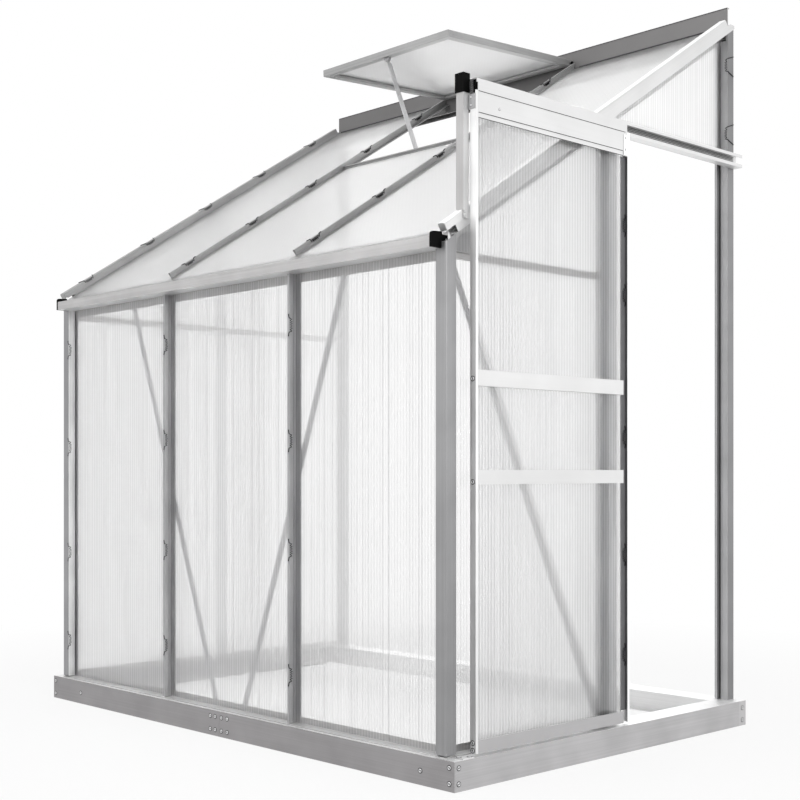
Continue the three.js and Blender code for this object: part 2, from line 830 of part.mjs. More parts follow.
function trackStrut() {
  const channel = [
    [strutX0, strutY0],
    [strutX1, strutY0],
    [strutX1, strutY1],
    [strutX1 - strutWall, strutY1],
    [strutX1 - strutWall, strutY0 + strutWall],
    [strutX0 + strutWall, strutY0 + strutWall],
    [strutX0 + strutWall, strutY1],
    [strutX0, strutY1],
  ];
  const foot = roofZ(strutY0, 0) - strutLap;
  const tabX = [trackBackX - fit - strutWall, trackBackX - fit];
  const tabZ0 = trackBottom - strutTabDrop;
  const tabZ1 = trackBottom + strutTabShort;
  const clearY = strutY1 + fit + capWall + fit;
  const rootY = (strutY0 + strutY1) / 2;
  const tab = [
    [rootY, tabZ0],
    [strutY1 + strutTabLength, tabZ0],
    [strutY1 + strutTabLength, trackBottom + strutTabTall],
    [clearY, trackBottom + strutTabTall],
    [clearY, tabZ1],
    [rootY, tabZ1],
  ];
  const overRafter = rectangle(strutX0 - overrun, trackBackX, -farAway, fit);
  return prism(channel, alongZ, foot, strutZ1)
    .subtract(prism(overRafter, alongRoof, -farAway, farAway))
    .add(prism(tab, alongX, ...tabX))
    .add(box([tabX[0], strutX1], [rootY, strutY1], [tabZ0, tabZ1]));
}

function strutCap() {
  const reach = capWall + fit;
  const outer = box(
    [strutX0 - reach, strutX1 + reach],
    [strutY0 - reach, strutY1 + reach],
    [strutZ1 - capSkirt, strutZ1 + fit + capTall],
  );
  const socket = box(
    [strutX0 - fit, strutX1 + fit],
    [strutY0 - fit, strutY1 + fit],
    [strutZ1 - capSkirt - overrun, strutZ1 + fit],
  );
  return outer.subtract(socket);
}

// Wall and roof sheets
const pocket = sheetBack + postWebHalf * 2 + fit * 2;
const barGap = barStem / 2 + fit;

function sheetFront(x0, x1) {
  return box([x0, x1], [wallY + sheetSetback, wallY + sheetBack], [footZ, wallTop]);
}

function gableSheet(side, along, foot) {
  const across = [gableX - sheetBack, gableX - sheetSetback].map((x) => side * x);
  return box(across, along, [foot, ridgeTop]).subtract(aboveRoof(-baseX, baseX, shelfBottom + fit));
}

function sheetGableFront(side) {
  const across = [side * gableX, side * (gableX - flangeBack - overrun)];
  const hangCut = box(across, [wallY, insideY], [flangeTop, farAway]);
  return gableSheet(side, [wallY + pocket, studY - barGap], footZ).subtract(hangCut);
}

function sheetGableRear(side, foot) {
  return gableSheet(side, [studY + barGap, rearY - pocket], foot);
}

function sheetRoof(x0, x1, end) {
  return prism(rectangle(x0, x1, -roofDrop - sheetThick, -roofDrop), alongRoof, -sheetNose, end);
}

// Vent pieces, in the vent's own frame
const ventInner = ventHalf - ventRail;
const ventSheetX = ventInner + ventGroove;
const ventSheetY = [-ventReach + ventRail - ventGroove, -hingeStart - ventRail + ventGroove];
const ventZ = [-ventThick / 2, ventThick / 2];

function ventSheet(gap) {
  return box(
    [-ventSheetX - gap, ventSheetX + gap],
    [ventSheetY[0] - gap, ventSheetY[1] + gap],
    [-sheetThick / 2 - gap, sheetThick / 2 + gap],
  );
}

function ventHingeRail() {
  const half = ventInner - fit;
  return box([-half, half], [-hingeStart - ventRail, -hingeStart], ventZ)
    .add(box([-half, half], [-hingeStart - hingeWeb, 0], [-hingeWeb / 2, hingeWeb / 2]))
    .add(rod(hingeBead, -half, half, 0, 0))
    .subtract(ventSheet(fit));
}

function ventSideRail(side) {
  const rail = box([side * ventInner, side * ventHalf], [-ventReach + ventRail + fit, -hingeStart], ventZ);
  return rail.subtract(ventSheet(fit));
}

function ventFreeRail() {
  let rail = box([-ventHalf, ventHalf], [-ventReach, -ventReach + ventRail], ventZ).subtract(ventSheet(fit));
  for (const side of [-1, 1]) {
    const ear = box(
      [stayTopX + side * earGap, stayTopX + side * (earGap + earThick)],
      [-stayRun - earLength / 2, -stayRun + earLength / 2],
      [-earDrop, -ventThick / 2 + fit],
    );
    rail = rail.add(ear);
  }
  const pinHalf = earGap + earThick;
  return rail.add(rod(stayPin, stayTopX - pinHalf, stayTopX + pinHalf, -stayRun, -stayDrop));
}

// Stay: it hangs from its pin at its own origin, along -Z
const [pegY, pegZ] = roofPoint(trimmerRun + trimmerWidth + pegGap, pegDrop);
const pinY = hingeY - stayRun * Math.cos(ventTilt) + stayDrop * Math.sin(ventTilt);
const pinZ = hingeZ - stayRun * Math.sin(ventTilt) - stayDrop * Math.cos(ventTilt);
const pegDistance = Math.hypot(pegY - pinY, pinZ - pegZ, stayFootX - stayTopX);
const stayAngle = Math.atan2(pegY - pinY, pinZ - pegZ) + Math.asin(stayOffset / pegDistance);
const stayLean = Math.asin((stayFootX - stayTopX) / pegDistance);

function ventStay() {
  const half = stayWidth / 2;
  const length = pegDistance + stayOverhang;
  const outline = [
    ...arc(0, 0, stayEye, 0, Math.PI, 8),
    [-stayEye, -stayNeck],
    [-half, -stayNeck * 2],
    ...arc(0, -length + half, half, Math.PI, Math.PI * 2, 8),
    [half, -stayNeck * 2],
    [stayEye, -stayNeck],
  ];
  const holes = [arc(0, 0, stayHoleRadius, 0, Math.PI * 2, 12).slice(1)];
  for (let index = 1; index <= stayHoles; index += 1) {
    const z = (-pegDistance * index) / (stayHoles + 1);
    holes.push(arc(0, z, stayHoleRadius, 0, Math.PI * 2, 12).slice(1));
  }
  const notch = box(
    [-stayThick - overrun, stayThick + overrun],
    [-half - overrun, pegRadius + fit * 2 - stayOffset],
    [-pegDistance - pegRadius - fit * 2, -pegDistance + pegRadius * 2],
  );
  return prism(outline, alongX, -stayThick / 2, stayThick / 2, holes).subtract(notch);
}

// Door pieces
const rebateX = doorSheetX + sheetThick + fit;

function doorStile(outerY, inward) {
  const outline = [
    [doorBackX, 0],
    [doorX, 0],
    [doorX, stileWidth],
    [doorX - doorWall, stileWidth],
    [doorX - doorWall, doorWall],
    [doorBackX + doorWall, doorWall],
    [doorBackX + doorWall, stileWidth],
    [doorBackX, stileWidth],
  ].map(([x, y]) => [x, outerY + inward * y]);
  const trackCut = box(
    [doorBackX - overrun, trackFrontX + fit],
    [outerY - stileWidth - overrun, outerY + stileWidth + overrun],
    [trackBottom - fit, farAway],
  );
  return prism(outline, alongZ, doorBottom, trackBottom + doorHeadGroove).subtract(trackCut);
}

function doorStileRear() {
  const along = [doorEndY - stileRebate, doorEndY - doorWall / 2];
  const face = box([rebateX, rebateX + doorWall], along, [doorBottom, trackBottom - doorHeadDrop]);
  return doorStile(doorEndY, -1).add(face);
}

const railEnds = [doorY + stileWidth + fit, doorEndY - stileWidth - fit];
const shortEnds = [railEnds[0], doorEndY - stileRebate - fit];

function doorHead() {
  const top = trackBottom - fit;
  const face = trackFrontX + fit;
  const low = trackBottom - doorHeadDrop;
  const outline = [
    [doorBackX, trackBottom - doorHeadBack],
    [doorBackX + doorWall, trackBottom - doorHeadBack],
    [doorBackX + doorWall, top - doorWall],
    [face, top - doorWall],
    [face, low],
    [doorX - doorHeadRelief, low],
    [doorX - doorHeadRelief, low + doorHeadStep],
    [doorX, low + doorHeadStep],
    [doorX, trackBottom + doorHeadGroove],
    [doorX - doorHeadRelief, trackBottom + doorHeadGroove],
    [doorX - doorHeadRelief, trackBottom + doorHeadTop],
    [face, trackBottom + doorHeadTop],
    [face, top],
    [doorBackX, top],
  ];
  let head = prism(outline, alongY, ...railEnds);
  for (const y of rollerPlaces) {
    head = head.add(rod(axleRadius, rollerX[0] - fit - collarWidth, doorX - doorHeadRelief, y, rollerZ));
    head = head.add(rod(collarRadius, rollerX[0] - fit - collarWidth, rollerX[0] - fit, y, rollerZ));
    head = head.add(rod(collarRadius, rollerX[1] + fit, rollerX[1] + fit + collarWidth, y, rollerZ));
  }
  return head;
}

function doorMidRail(bottom, top) {
  const outline = [
    [rebateX, bottom],
    [doorX, bottom],
    [doorX, top],
    [rebateX, top],
    [rebateX, top - doorWall],
    [doorX - doorWall, top - doorWall],
    [doorX - doorWall, bottom + doorWall],
    [rebateX, bottom + doorWall],
  ];
  return prism(outline, alongY, ...shortEnds);
}

function doorBottomBar() {
  const outline = [
    [doorBackX, doorBottom],
    [doorX, doorBottom],
    [doorX, doorBottom + doorBottomRail],
    [doorX - doorWall, doorBottom + doorBottomRail],
    [doorX - doorWall, doorBottom + doorWall],
    [doorBackX + doorWall, doorBottom + doorWall],
    [doorBackX + doorWall, doorBottom + doorBottomBack],
    [doorBackX, doorBottom + doorBottomBack],
  ];
  return prism(outline, alongY, ...shortEnds);
}

function doorSheet() {
  return box(
    [doorSheetX, doorSheetX + sheetThick],
    [doorY + doorWall + fit, doorEndY - doorWall - fit],
    [doorBottom + doorWall + fit, trackBottom - doorSheetTop],
  );
}

const rollerMiddleX = (trackBackX + trackFrontX) / 2 - fit;
const rollerX = [rollerMiddleX - rollerWidth / 2, rollerMiddleX + rollerWidth / 2];
const rollerPlaces = [doorY + rollerInset, doorEndY - rollerInset];

function doorRoller(y) {
  const half = rollerWidth / 2;
  const profile = [
    [axleRadius + axlePlay, -half],
    [rollerRadius - rollerCrown, -half],
    [rollerRadius, -half + rollerCrown],
    [rollerRadius, half - rollerCrown],
    [rollerRadius - rollerCrown, half],
    [axleRadius + axlePlay, half],
    [axleRadius + axlePlay, -half],
  ].map(([r, a]) => new THREE.Vector2(r, a));
  const geometry = new THREE.LatheGeometry(profile, 32);
  geometry.rotateZ(-Math.PI / 2);
  geometry.translate(rollerMiddleX, y, rollerZ);
  return solidOf(geometry);
}

// Finishes
const millAluminium = new THREE.MeshStandardMaterial({ color: 0xc4c4c5, roughness: 0.45, metalness: 0.9 });
const baseAluminium = new THREE.MeshStandardMaterial({ color: 0xaeaeaf, roughness: 0.5, metalness: 0.9 });
const twinWall = new THREE.MeshStandardMaterial({
  color: 0xeeeeee,
  roughness: 0.35,
  metalness: 0,
  transparent: true,
  opacity: 0.6,
});
const blackPlastic = new THREE.MeshStandardMaterial({ color: 0x0c0c0d, roughness: 0.5, metalness: 0 });
const rollerNylon = new THREE.MeshStandardMaterial({ color: 0xd8d8d4, roughness: 0.6, metalness: 0 });

const greenhouse = new THREE.Group();
const vent = new THREE.Group();
vent.position.set(0, hingeY, hingeZ);
vent.rotation.x = ventTilt;
greenhouse.add(vent);

function put(name, solid, material, group = greenhouse) {
  const mesh = new THREE.Mesh(geometryOf(solid), material);
  mesh.name = name;
  group.add(mesh);
  return mesh;
}

function putAll(pieces, material, group = greenhouse) {
  for (const [name, solid] of Object.entries(pieces)) {
    put(name, solid, material, group);
  }
}

const ridgeEnd = roofRun(ridgeFaceY - fit, roofDrop + sheetThick);

putAll({
  base_front_left: baseFrontLeft(),
  base_front_right: baseFrontRight(),
  base_end_door: baseEndDoor(),
  base_end_far: baseEndFar(),
  base_rear: baseRear(),
}, baseAluminium);

putAll({
  sill_front: sillFront(),
  sill_door_end: sillDoorEnd(),
  sill_far_end: sillFarEnd(),
  post_front_left: postFront(-1),
  post_front_right: postFront(1),
  post_rear_left: postRear(-1, footZ),
  post_rear_right: postRear(1, sillBottom),
  stud_front_left: studFront(-studX),
  stud_front_right: studFront(studX),
  stud_far_end: gableBar(-1, -flangeHalf, flangeHalf, []),
  door_jamb_stud: jambStud(),
  gutter: gutterBody(),
  rail_door_end: railDoorEnd(),
  rail_far_end: railFarEnd(),
  ridge_beam: ridgeBeam(),
  rafter_far_end: rafterEnd(-1),
  rafter_left: rafterMiddle(-studX),
  rafter_right: rafterMiddle(studX),
  rafter_door_end: rafterEnd(1),
  vent_trimmer: ventTrimmer(),
  brace_front_left: braceFront(braceLeftTopX, braceLeftFootX),
  brace_front_right: braceFront(braceRightTopX, braceRightFootX),
  brace_door_end: braceDoorEnd(),
  door_header: doorHeader(),
  door_track: doorTrack(),
  track_strut: trackStrut(),
}, millAluminium);

putAll({
  gutter_cap_left: gutterCap(-1),
  gutter_cap_right: gutterCap(1),
  strut_cap: strutCap(),
}, blackPlastic);

putAll({
  panel_front_left: sheetFront(pocket - gableX, -studX - barGap),
  panel_front_middle: sheetFront(barGap - studX, studX - barGap),
  panel_front_right: sheetFront(studX + barGap, gableX - pocket),
  panel_far_front: sheetGableFront(-1),
  panel_far_rear: sheetGableRear(-1, footZ),
  panel_door_end: sheetGableFront(1),
  panel_over_door: sheetGableRear(1, overDoorFoot),
  panel_roof_left: sheetRoof(beadInner + fit - gableX, -studX - barGap, ridgeEnd),
  panel_roof_middle: sheetRoof(barGap - studX, studX - barGap, trimmerRun - fit),
  panel_roof_right: sheetRoof(studX + barGap, gableX - beadInner - fit, ridgeEnd),
  door_panel: doorSheet(),
}, twinWall);

putAll({
  vent_hinge_rail: ventHingeRail(),
  vent_rail_left: ventSideRail(-1),
  vent_rail_right: ventSideRail(1),
  vent_free_rail: ventFreeRail(),
}, millAluminium, vent);
put('vent_panel', ventSheet(0), twinWall, vent);

const stay = put('vent_stay', ventStay(), millAluminium, vent);
stay.position.set(stayTopX, -stayRun, -stayDrop);
stay.rotation.set(stayAngle - ventTilt, -stayLean, 0);

putAll({
  door_stile_front: doorStile(doorY, 1),
  door_stile_rear: doorStileRear(),
  door_head: doorHead(),
  door_rail_upper: doorMidRail(upperRailBottom, upperRailTop),
  door_rail_lower: doorMidRail(lowerRailBottom, lowerRailTop),
  door_rail_bottom: doorBottomBar(),
}, millAluminium);
putAll({
  door_roller_front: doorRoller(rollerPlaces[0]),
  door_roller_rear: doorRoller(rollerPlaces[1]),
}, rollerNylon);

export default greenhouse;
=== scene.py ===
import math

import bmesh
import bpy
from mathutils import Matrix, Vector


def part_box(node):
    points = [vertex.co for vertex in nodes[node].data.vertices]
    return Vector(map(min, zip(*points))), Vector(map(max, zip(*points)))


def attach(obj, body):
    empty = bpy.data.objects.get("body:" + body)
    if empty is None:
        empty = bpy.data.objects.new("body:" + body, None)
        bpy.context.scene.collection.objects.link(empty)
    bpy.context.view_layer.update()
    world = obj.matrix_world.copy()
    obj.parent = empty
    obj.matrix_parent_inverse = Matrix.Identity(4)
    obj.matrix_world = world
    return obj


# Lean to greenhouse: mill finish aluminium bars, twin-wall sheets, a sliding door and a propped vent.
# Metres, +X to the door gable, +Y to the house wall, +Z up.

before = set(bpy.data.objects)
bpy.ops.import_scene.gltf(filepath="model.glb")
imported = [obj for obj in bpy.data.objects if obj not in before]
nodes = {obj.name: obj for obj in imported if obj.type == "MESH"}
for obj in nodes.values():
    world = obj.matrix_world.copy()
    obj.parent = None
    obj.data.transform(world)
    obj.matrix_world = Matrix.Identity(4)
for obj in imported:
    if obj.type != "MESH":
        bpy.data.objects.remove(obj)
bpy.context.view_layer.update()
scene = bpy.context.scene
scene.view_settings.view_transform = "Standard"
print("frame loaded:", len(nodes), "nodes")

roofAngle = math.radians(32.29)
ventTilt = math.radians(3)  # as open as in the photograph, a little below level
eavesLine = (-0.6225, 1.3993)  # y and z where the roof's upper face meets the front wall
slopeAlong = (0, math.cos(roofAngle), math.sin(roofAngle))
slopeDown = (0, math.sin(roofAngle), -math.cos(roofAngle))
ventAlong = (0, -math.cos(ventTilt), -math.sin(ventTilt))


# Helpers

def colour(code):
    channels = [int(code[i:i + 2], 16) / 255 for i in (1, 3, 5)]
    linear = [c / 12.92 if c <= 0.04045 else ((c + 0.055) / 1.055) ** 2.4 for c in channels]
    return (*linear, 1.0)


def addNode(tree, kind, settings=None, links=None):
    # small letters are the node's own settings, the rest are its inputs by name or number
    node = tree.nodes.new(kind)
    for key, value in (settings or {}).items():
        if isinstance(key, str) and key.islower():
            setattr(node, key, value)
        else:
            node.inputs[key].default_value = value
    for key, (source, output) in (links or {}).items():
        tree.links.new(source.outputs[output], node.inputs[key])
    return node


def newMaterial(name):
    # in each colour mix below, inputs 6 and 7 are its two colours and output 2 is the result
    material = bpy.data.materials.new(name)
    material.use_nodes = True
    material.node_tree.nodes.clear()
    return material, material.node_tree


# Camera, solved from the photograph's vanishing points

cameraView = {
    "place": (3.25168, -2.99596, 0.78325),
    "look": (-0.7241, 0.6897, 0.0),
    "lens": 60.81,
    "sensor": 36.0,
    "shiftUp": 0.08875,
}


def addCamera(view):
    data = bpy.data.cameras.new("camera")
    data.lens = view["lens"]
    data.sensor_width = view["sensor"]
    data.shift_y = view["shiftUp"]
    camera = bpy.data.objects.new("camera", data)
    camera.location = view["place"]
    camera.rotation_euler = Vector(view["look"]).to_track_quat("-Z", "Y").to_euler()
    scene.collection.objects.link(camera)
    scene.camera = camera


addCamera(cameraView)
print("camera placed")


# Studio: soft lamps, white background, pale floor

studio = {
    "skyLevel": 0.5,
    "target": (0.0, 0.0, 1.0),
    "floorSize": 14.0,
    "floorDrop": 0.0008,
    "floorColour": "#e4e4e4",
    "floorFade": (1.5, 3.0),
    "floorGlow": 0.85,
}
lamps = {
    # place, power and width
    "key": ((5.6, -1.2, 3.0), 130, 3.0),
    "side": ((4.6, 3.9, 1.5), 34, 3.0),
    "back": ((-3.4, 3.9, 1.7), 40, 3.0),
    "fill": ((-0.8, -5.6, 2.8), 70, 3.4),
    "top": ((0.2, -0.8, 5.4), 110, 3.2),
}


def addLamp(name, place, power, size, target):
    data = bpy.data.lights.new(name, "AREA")
    data.energy = power
    data.size = size
    lamp = bpy.data.objects.new(name, data)
    lamp.location = place
    lamp.visible_transmission = False  # the lamps themselves don't show through the sheets
    lamp.rotation_euler = (Vector(target) - Vector(place)).to_track_quat("-Z", "Y").to_euler()
    scene.collection.objects.link(lamp)


def seenRay(tree):
    # 1 for the rays that should meet a white studio: camera, glossy and transmitted
    path = addNode(tree, "ShaderNodeLightPath")
    first = addNode(tree, "ShaderNodeMath", {"operation": "MAXIMUM"},
                    {0: (path, "Is Camera Ray"), 1: (path, "Is Glossy Ray")})
    return addNode(tree, "ShaderNodeMath", {"operation": "MAXIMUM"},
                   {0: (first, 0), 1: (path, "Is Transmission Ray")})


def addSky(level):
    world = bpy.data.worlds.new("studio")
    scene.world = world
    world.use_nodes = True
    # light through a milky sheet then meets the same white as the camera
    world.cycles.sampling_method = "NONE"
    tree = world.node_tree
    tree.nodes.clear()
    plain = addNode(tree, "ShaderNodeBackground", {"Color": (1, 1, 1, 1), "Strength": level})
    white = addNode(tree, "ShaderNodeBackground", {"Color": (1, 1, 1, 1), "Strength": 1.0})
    mix = addNode(tree, "ShaderNodeMixShader", links={0: (seenRay(tree), 0), 1: (plain, 0), 2: (white, 0)})
    addNode(tree, "ShaderNodeOutputWorld", links={"Surface": (mix, 0)})


def floorMaterial(plan):
    # matt white paper sweep: it fades to plain white a little way out, so it has no horizon
    material, tree = newMaterial("paper sweep")
    place = addNode(tree, "ShaderNodeTexCoord")
    reach = addNode(tree, "ShaderNodeVectorMath", {"operation": "LENGTH"}, {0: (place, "Object")})
    start, end = plan["floorFade"]
    fade = addNode(tree, "ShaderNodeMapRange", {"From Min": start, "From Max": end},
                   {"Value": (reach, "Value")})
    paper = addNode(tree, "ShaderNodeBsdfDiffuse", {"Color": colour(plan["floorColour"])})
    glow = addNode(tree, "ShaderNodeEmission", {"Color": (1, 1, 1, 1), "Strength": 1.0})
    lift = addNode(tree, "ShaderNodeMapRange", {"To Min": plan["floorGlow"], "To Max": 1.0},
                   {"Value": (fade, 0)})
    share = addNode(tree, "ShaderNodeMath", {"operation": "MULTIPLY"}, {0: (lift, 0), 1: (seenRay(tree), 0)})
    mix = addNode(tree, "ShaderNodeMixShader", links={0: (share, 0), 1: (paper, 0), 2: (glow, 0)})
    addNode(tree, "ShaderNodeOutputMaterial", links={"Surface": (mix, 0)})
    material.cycles.emission_sampling = "NONE"
    return material


def addFloor(plan):
    half = plan["floorSize"] / 2
    corners = [(-half, -half, 0), (half, -half, 0), (half, half, 0), (-half, half, 0)]
    mesh = bpy.data.meshes.new("floor")
    mesh.from_pydata(corners, [], [(0, 1, 2, 3)])
    floor = bpy.data.objects.new("floor", mesh)
    floor.location.z = -plan["floorDrop"]
    scene.collection.objects.link(floor)
    mesh.materials.append(floorMaterial(plan))


addSky(studio["skyLevel"])
for lampName, (lampPlace, lampPower, lampWidth) in lamps.items():
    addLamp(lampName, lampPlace, lampPower, lampWidth, studio["target"])
addFloor(studio)
print("studio lit")


# Mill finish aluminium: pressed through a die, so it has faint lines along each bar and a soft, even sheen,
# with painted light and shade on each face

paintedFaceTones = {
    # painted light and shade: the tones of faces that look along X, along Y, and up or down
    "post": ("#909091", "#959596", "#d6d6d6"),
    "left post": ("#e6e6e6", "#98989a", "#d6d6d6"),
    "stud": ("#bababb", "#a2a2a3", "#c0c0c0"),
    "rear post": ("#808081", "#b8b8b9", "#d6d6d6"),
    "jamb": ("#c9c9ca", "#9c9c9d", "#c0c0c0"),
    "gutter": ("#b2b1b1", "#b8b7b7", "#d8d8d8"),
    "ridge": ("#b2b1b1", "#747373", "#d0d0d0"),
    "roof bar": ("#a6a6a6", "#a6a6a6", "#a6a6a6"),
    "vent": ("#a2a2a2", "#a2a2a2", "#a2a2a2"),
    "brace": ("#c6c6c7", "#c6c6c7", "#c6c6c7"),
    "strut": ("#d0d0d0", "#acabab", "#d8d8d8"),
    "door": ("#cfcfcf", "#b8b8b8", "#e0e0e0"),
    "mid rail": ("#c8c8c8", "#b8b8b8", "#e0e0e0"),
    "front stile": ("#dcdcdc", "#dedede", "#e0e0e0"),
    "rear stile": ("#f4f4f4", "#a2a2a3", "#e0e0e0"),
    "door rail": ("#afaeaf", "#b8b8b8", "#f0f0f0"),
    "base": ("#b2b1b2", "#989697", "#efefef"),
    "rear base": ("#b9b8b9", "#f2f2f2", "#f4f4f4"),
}
dieLines = {
    "pitch": 0.005,  # real ones are finer than a pixel, so they are drawn this coarse
    "length": 0.8,
    "contrast": 0.11,
    "faint": 0.05,
    "polished": 0.04,
    "cloudSize": 0.14,
}
axisShare = 0.7  # a face counts as looking along an axis above this share of its normal


def paintFaceLightAndShade(tree, place, tones):
    # painted light and shade: each face of a bar gets a tone by the way it looks, lighter where the lamps
    # light it and darker where it lies in shade, and the faces that look up are painted brighter
    sides = addNode(tree, "ShaderNodeSeparateXYZ", links={0: (place, "Normal")})
    sizes = [addNode(tree, "ShaderNodeMath", {"operation": "ABSOLUTE"}, {0: (sides, axis)})
             for axis in (1, 2)]
    shares = [addNode(tree, "ShaderNodeMath", {"operation": "GREATER_THAN", 1: axisShare}, {0: (size, 0)})
              for size in sizes]
    level = addNode(tree, "ShaderNodeMix", {"data_type": "RGBA", 6: colour(tones[0]), 7: colour(tones[1])},
                    {0: (shares[0], 0)})
    return addNode(tree, "ShaderNodeMix", {"data_type": "RGBA", 7: colour(tones[2])},
                   {0: (shares[1], 0), 6: (level, 2)})


def millAluminium(tone, run, contrast=dieLines["contrast"]):
    name = f"mill aluminium {tone} along {run}"
    if name in bpy.data.materials:
        return bpy.data.materials[name]
    material, tree = newMaterial(name)
    place = addNode(tree, "ShaderNodeTexCoord")
    across, along = 1 / dieLines["pitch"], 1 / dieLines["length"]
    scales = {"x": (along, across, across), "y": (across, along, across), "z": (across, across, along),
              "slope": (across, along, across)}
    turn = addNode(tree, "ShaderNodeMapping", {"Rotation": (-roofAngle if run == "slope" else 0, 0, 0)},
                   {"Vector": (place, "Object")})
    stretch = addNode(tree, "ShaderNodeMapping", {"Scale": scales[run]}, {"Vector": (turn, 0)})
    streaks = addNode(tree, "ShaderNodeTexNoise", {"Scale": 1.0, "Detail": 3.0, "Roughness": 0.6},
                      {"Vector": (stretch, 0)})
    handling = addNode(tree, "ShaderNodeTexNoise", {"Scale": 1 / dieLines["cloudSize"], "Detail": 2.0},
                       {"Vector": (place, "Object")})
    blend = addNode(tree, "ShaderNodeMath", {"operation": "ADD"}, {0: (streaks, 0), 1: (handling, 0)})
    spread = addNode(tree, "ShaderNodeMapRange", {"From Min": 0.75, "From Max": 1.25}, {"Value": (blend, 0)})
    # the face tones are painted light and shade; the die lines below scale them
    faceLitTone = paintFaceLightAndShade(tree, place, paintedFaceTones[tone])
    shade = addNode(tree, "ShaderNodeMapRange", {"To Min": 1 - contrast, "To Max": 1 + contrast},
                    {"Value": (spread, 0)})
    mix = addNode(tree, "ShaderNodeVectorMath", {"operation": "SCALE"}, {0: (faceLitTone, 2), "Scale": (shade, 0)})
    gloss = {"From Min": 0.3, "From Max": 0.7, "To Min": 0.42, "To Max": 0.55}
    satin = addNode(tree, "ShaderNodeMapRange", gloss, {"Value": (streaks, 0)})
    bump = addNode(tree, "ShaderNodeBump", {"Strength": 0.12, "Distance": 0.0003}, {"Height": (streaks, 0)})
    shader = addNode(tree, "ShaderNodeBsdfPrincipled", {"Metallic": 0.85},
                     {"Base Color": (mix, 0), "Roughness": (satin, 0), "Normal": (bump, 0)})
    addNode(tree, "ShaderNodeOutputMaterial", links={"Surface": (shader, 0)})
    return material


# Twin-wall polycarbonate: two thin milky skins with ribs between, so it shows a fine line at every rib

sheetLook = {
    "ribPitch": 0.0112,  # a real rib comes every 6 mm, too fine for the render, so about every other is drawn
    "cell": "#fcfcfc",
    "rib": "#a2a2a4",
    "roughness": 0.3,
    "transmission": 0.95,
    "opacity": 0.42,  # of one skin; the rest is seen straight through it
    "ribOpacity": 0.88,
    "dotPitch": 0.0105,
    "unevenness": 0.15,  # depth of the faintest line beside the strongest
}


def sheetRibs(tree, place, axis, even):
    # one darker line where each rib meets the skin; no two of them catch the light alike
    pitch = sheetLook["ribPitch"]
    wave = addNode(tree, "ShaderNodeTexWave", {"bands_direction": axis, "Scale": math.pi / (10 * pitch)},
                   {"Vector": (place, "Object")})
    sharp = addNode(tree, "ShaderNodeMath", {"operation": "POWER", 1: 5.0}, {0: (wave, "Fac")})
    sizes = {"X": (1 / pitch, 0.2, 0.2), "Y": (0.2, 1 / pitch, 0.2)}
    spread = addNode(tree, "ShaderNodeMapping", {"Scale": sizes[axis]}, {"Vector": (place, "Object")})
    uneven = addNode(tree, "ShaderNodeTexNoise", {"Scale": 0.9, "Detail": 1.0}, {"Vector": (spread, 0)})
    depths = {"From Min": 0.34, "From Max": 0.66, "To Min": even, "To Max": 1.0}
    depth = addNode(tree, "ShaderNodeMapRange", depths, {"Value": (uneven, 0)})
    return wave, addNode(tree, "ShaderNodeMath", {"operation": "MULTIPLY"}, {0: (sharp, 0), 1: (depth, 0)})


def sheetDots(tree, place):
    # where both skins' ribs cross, a sheet seen along the roof shows a fine diagonal grid
    turned = addNode(tree, "ShaderNodeMapping", {"Rotation": (0, 0, math.radians(45))},
                     {"Vector": (place, "Object")})
    scale = math.pi / (10 * sheetLook["dotPitch"])
    waves = [addNode(tree, "ShaderNodeTexWave", {"bands_direction": axis, "Scale": scale},
                     {"Vector": (turned, 0)}) for axis in ("X", "Y")]
    return addNode(tree, "ShaderNodeMath", {"operation": "MULTIPLY"},
                   {0: (waves[0], "Fac"), 1: (waves[1], "Fac")})


def twinWall(name, axis, strength=1.0, dots=0.0, cell=sheetLook["cell"], opacity=sheetLook["opacity"],
             even=sheetLook["unevenness"]):
    material, tree = newMaterial(name)
    place = addNode(tree, "ShaderNodeTexCoord")
    wave, lines = sheetRibs(tree, place, axis, even)
    factor = addNode(tree, "ShaderNodeMath", {"operation": "MULTIPLY", 1: strength}, {0: (lines, 0)})
    if dots:
        grid = sheetDots(tree, place)
        soft = addNode(tree, "ShaderNodeMath", {"operation": "MULTIPLY", 1: dots}, {0: (grid, 0)})
        factor = addNode(tree, "ShaderNodeMath", {"operation": "MAXIMUM"}, {0: (factor, 0), 1: (soft, 0)})
    mix = addNode(tree, "ShaderNodeMix", {"data_type": "RGBA", 6: colour(cell), 7: colour(sheetLook["rib"])},
                  {0: (factor, 0)})
    bump = addNode(tree, "ShaderNodeBump", {"Strength": 0.25, "Distance": 0.0008}, {"Height": (wave, "Fac")})
    densest = max(opacity, sheetLook["ribOpacity"])
    cover = addNode(tree, "ShaderNodeMapRange", {"To Min": opacity, "To Max": densest},
                    {"Value": (factor, 0)})
    shader = addNode(tree, "ShaderNodeBsdfPrincipled",
                     {"Roughness": sheetLook["roughness"], "IOR": 1.25, "Specular IOR Level": 0.4,
                      "Transmission Weight": sheetLook["transmission"]},
                     {"Base Color": (mix, 2), "Normal": (bump, 0), "Alpha": (cover, 0)})
    addNode(tree, "ShaderNodeOutputMaterial", links={"Surface": (shader, 0)})
    return material


grainsPerMetre = {
    # a grain of the cap is 1.1 mm wide, and a cloud on the wire and bolts 4 mm
    "cap": 900.0,
    "nylon": 60.0,
    "rib": 40.0,
    "steel": 240.0,
    "rubber": 30.0,
}


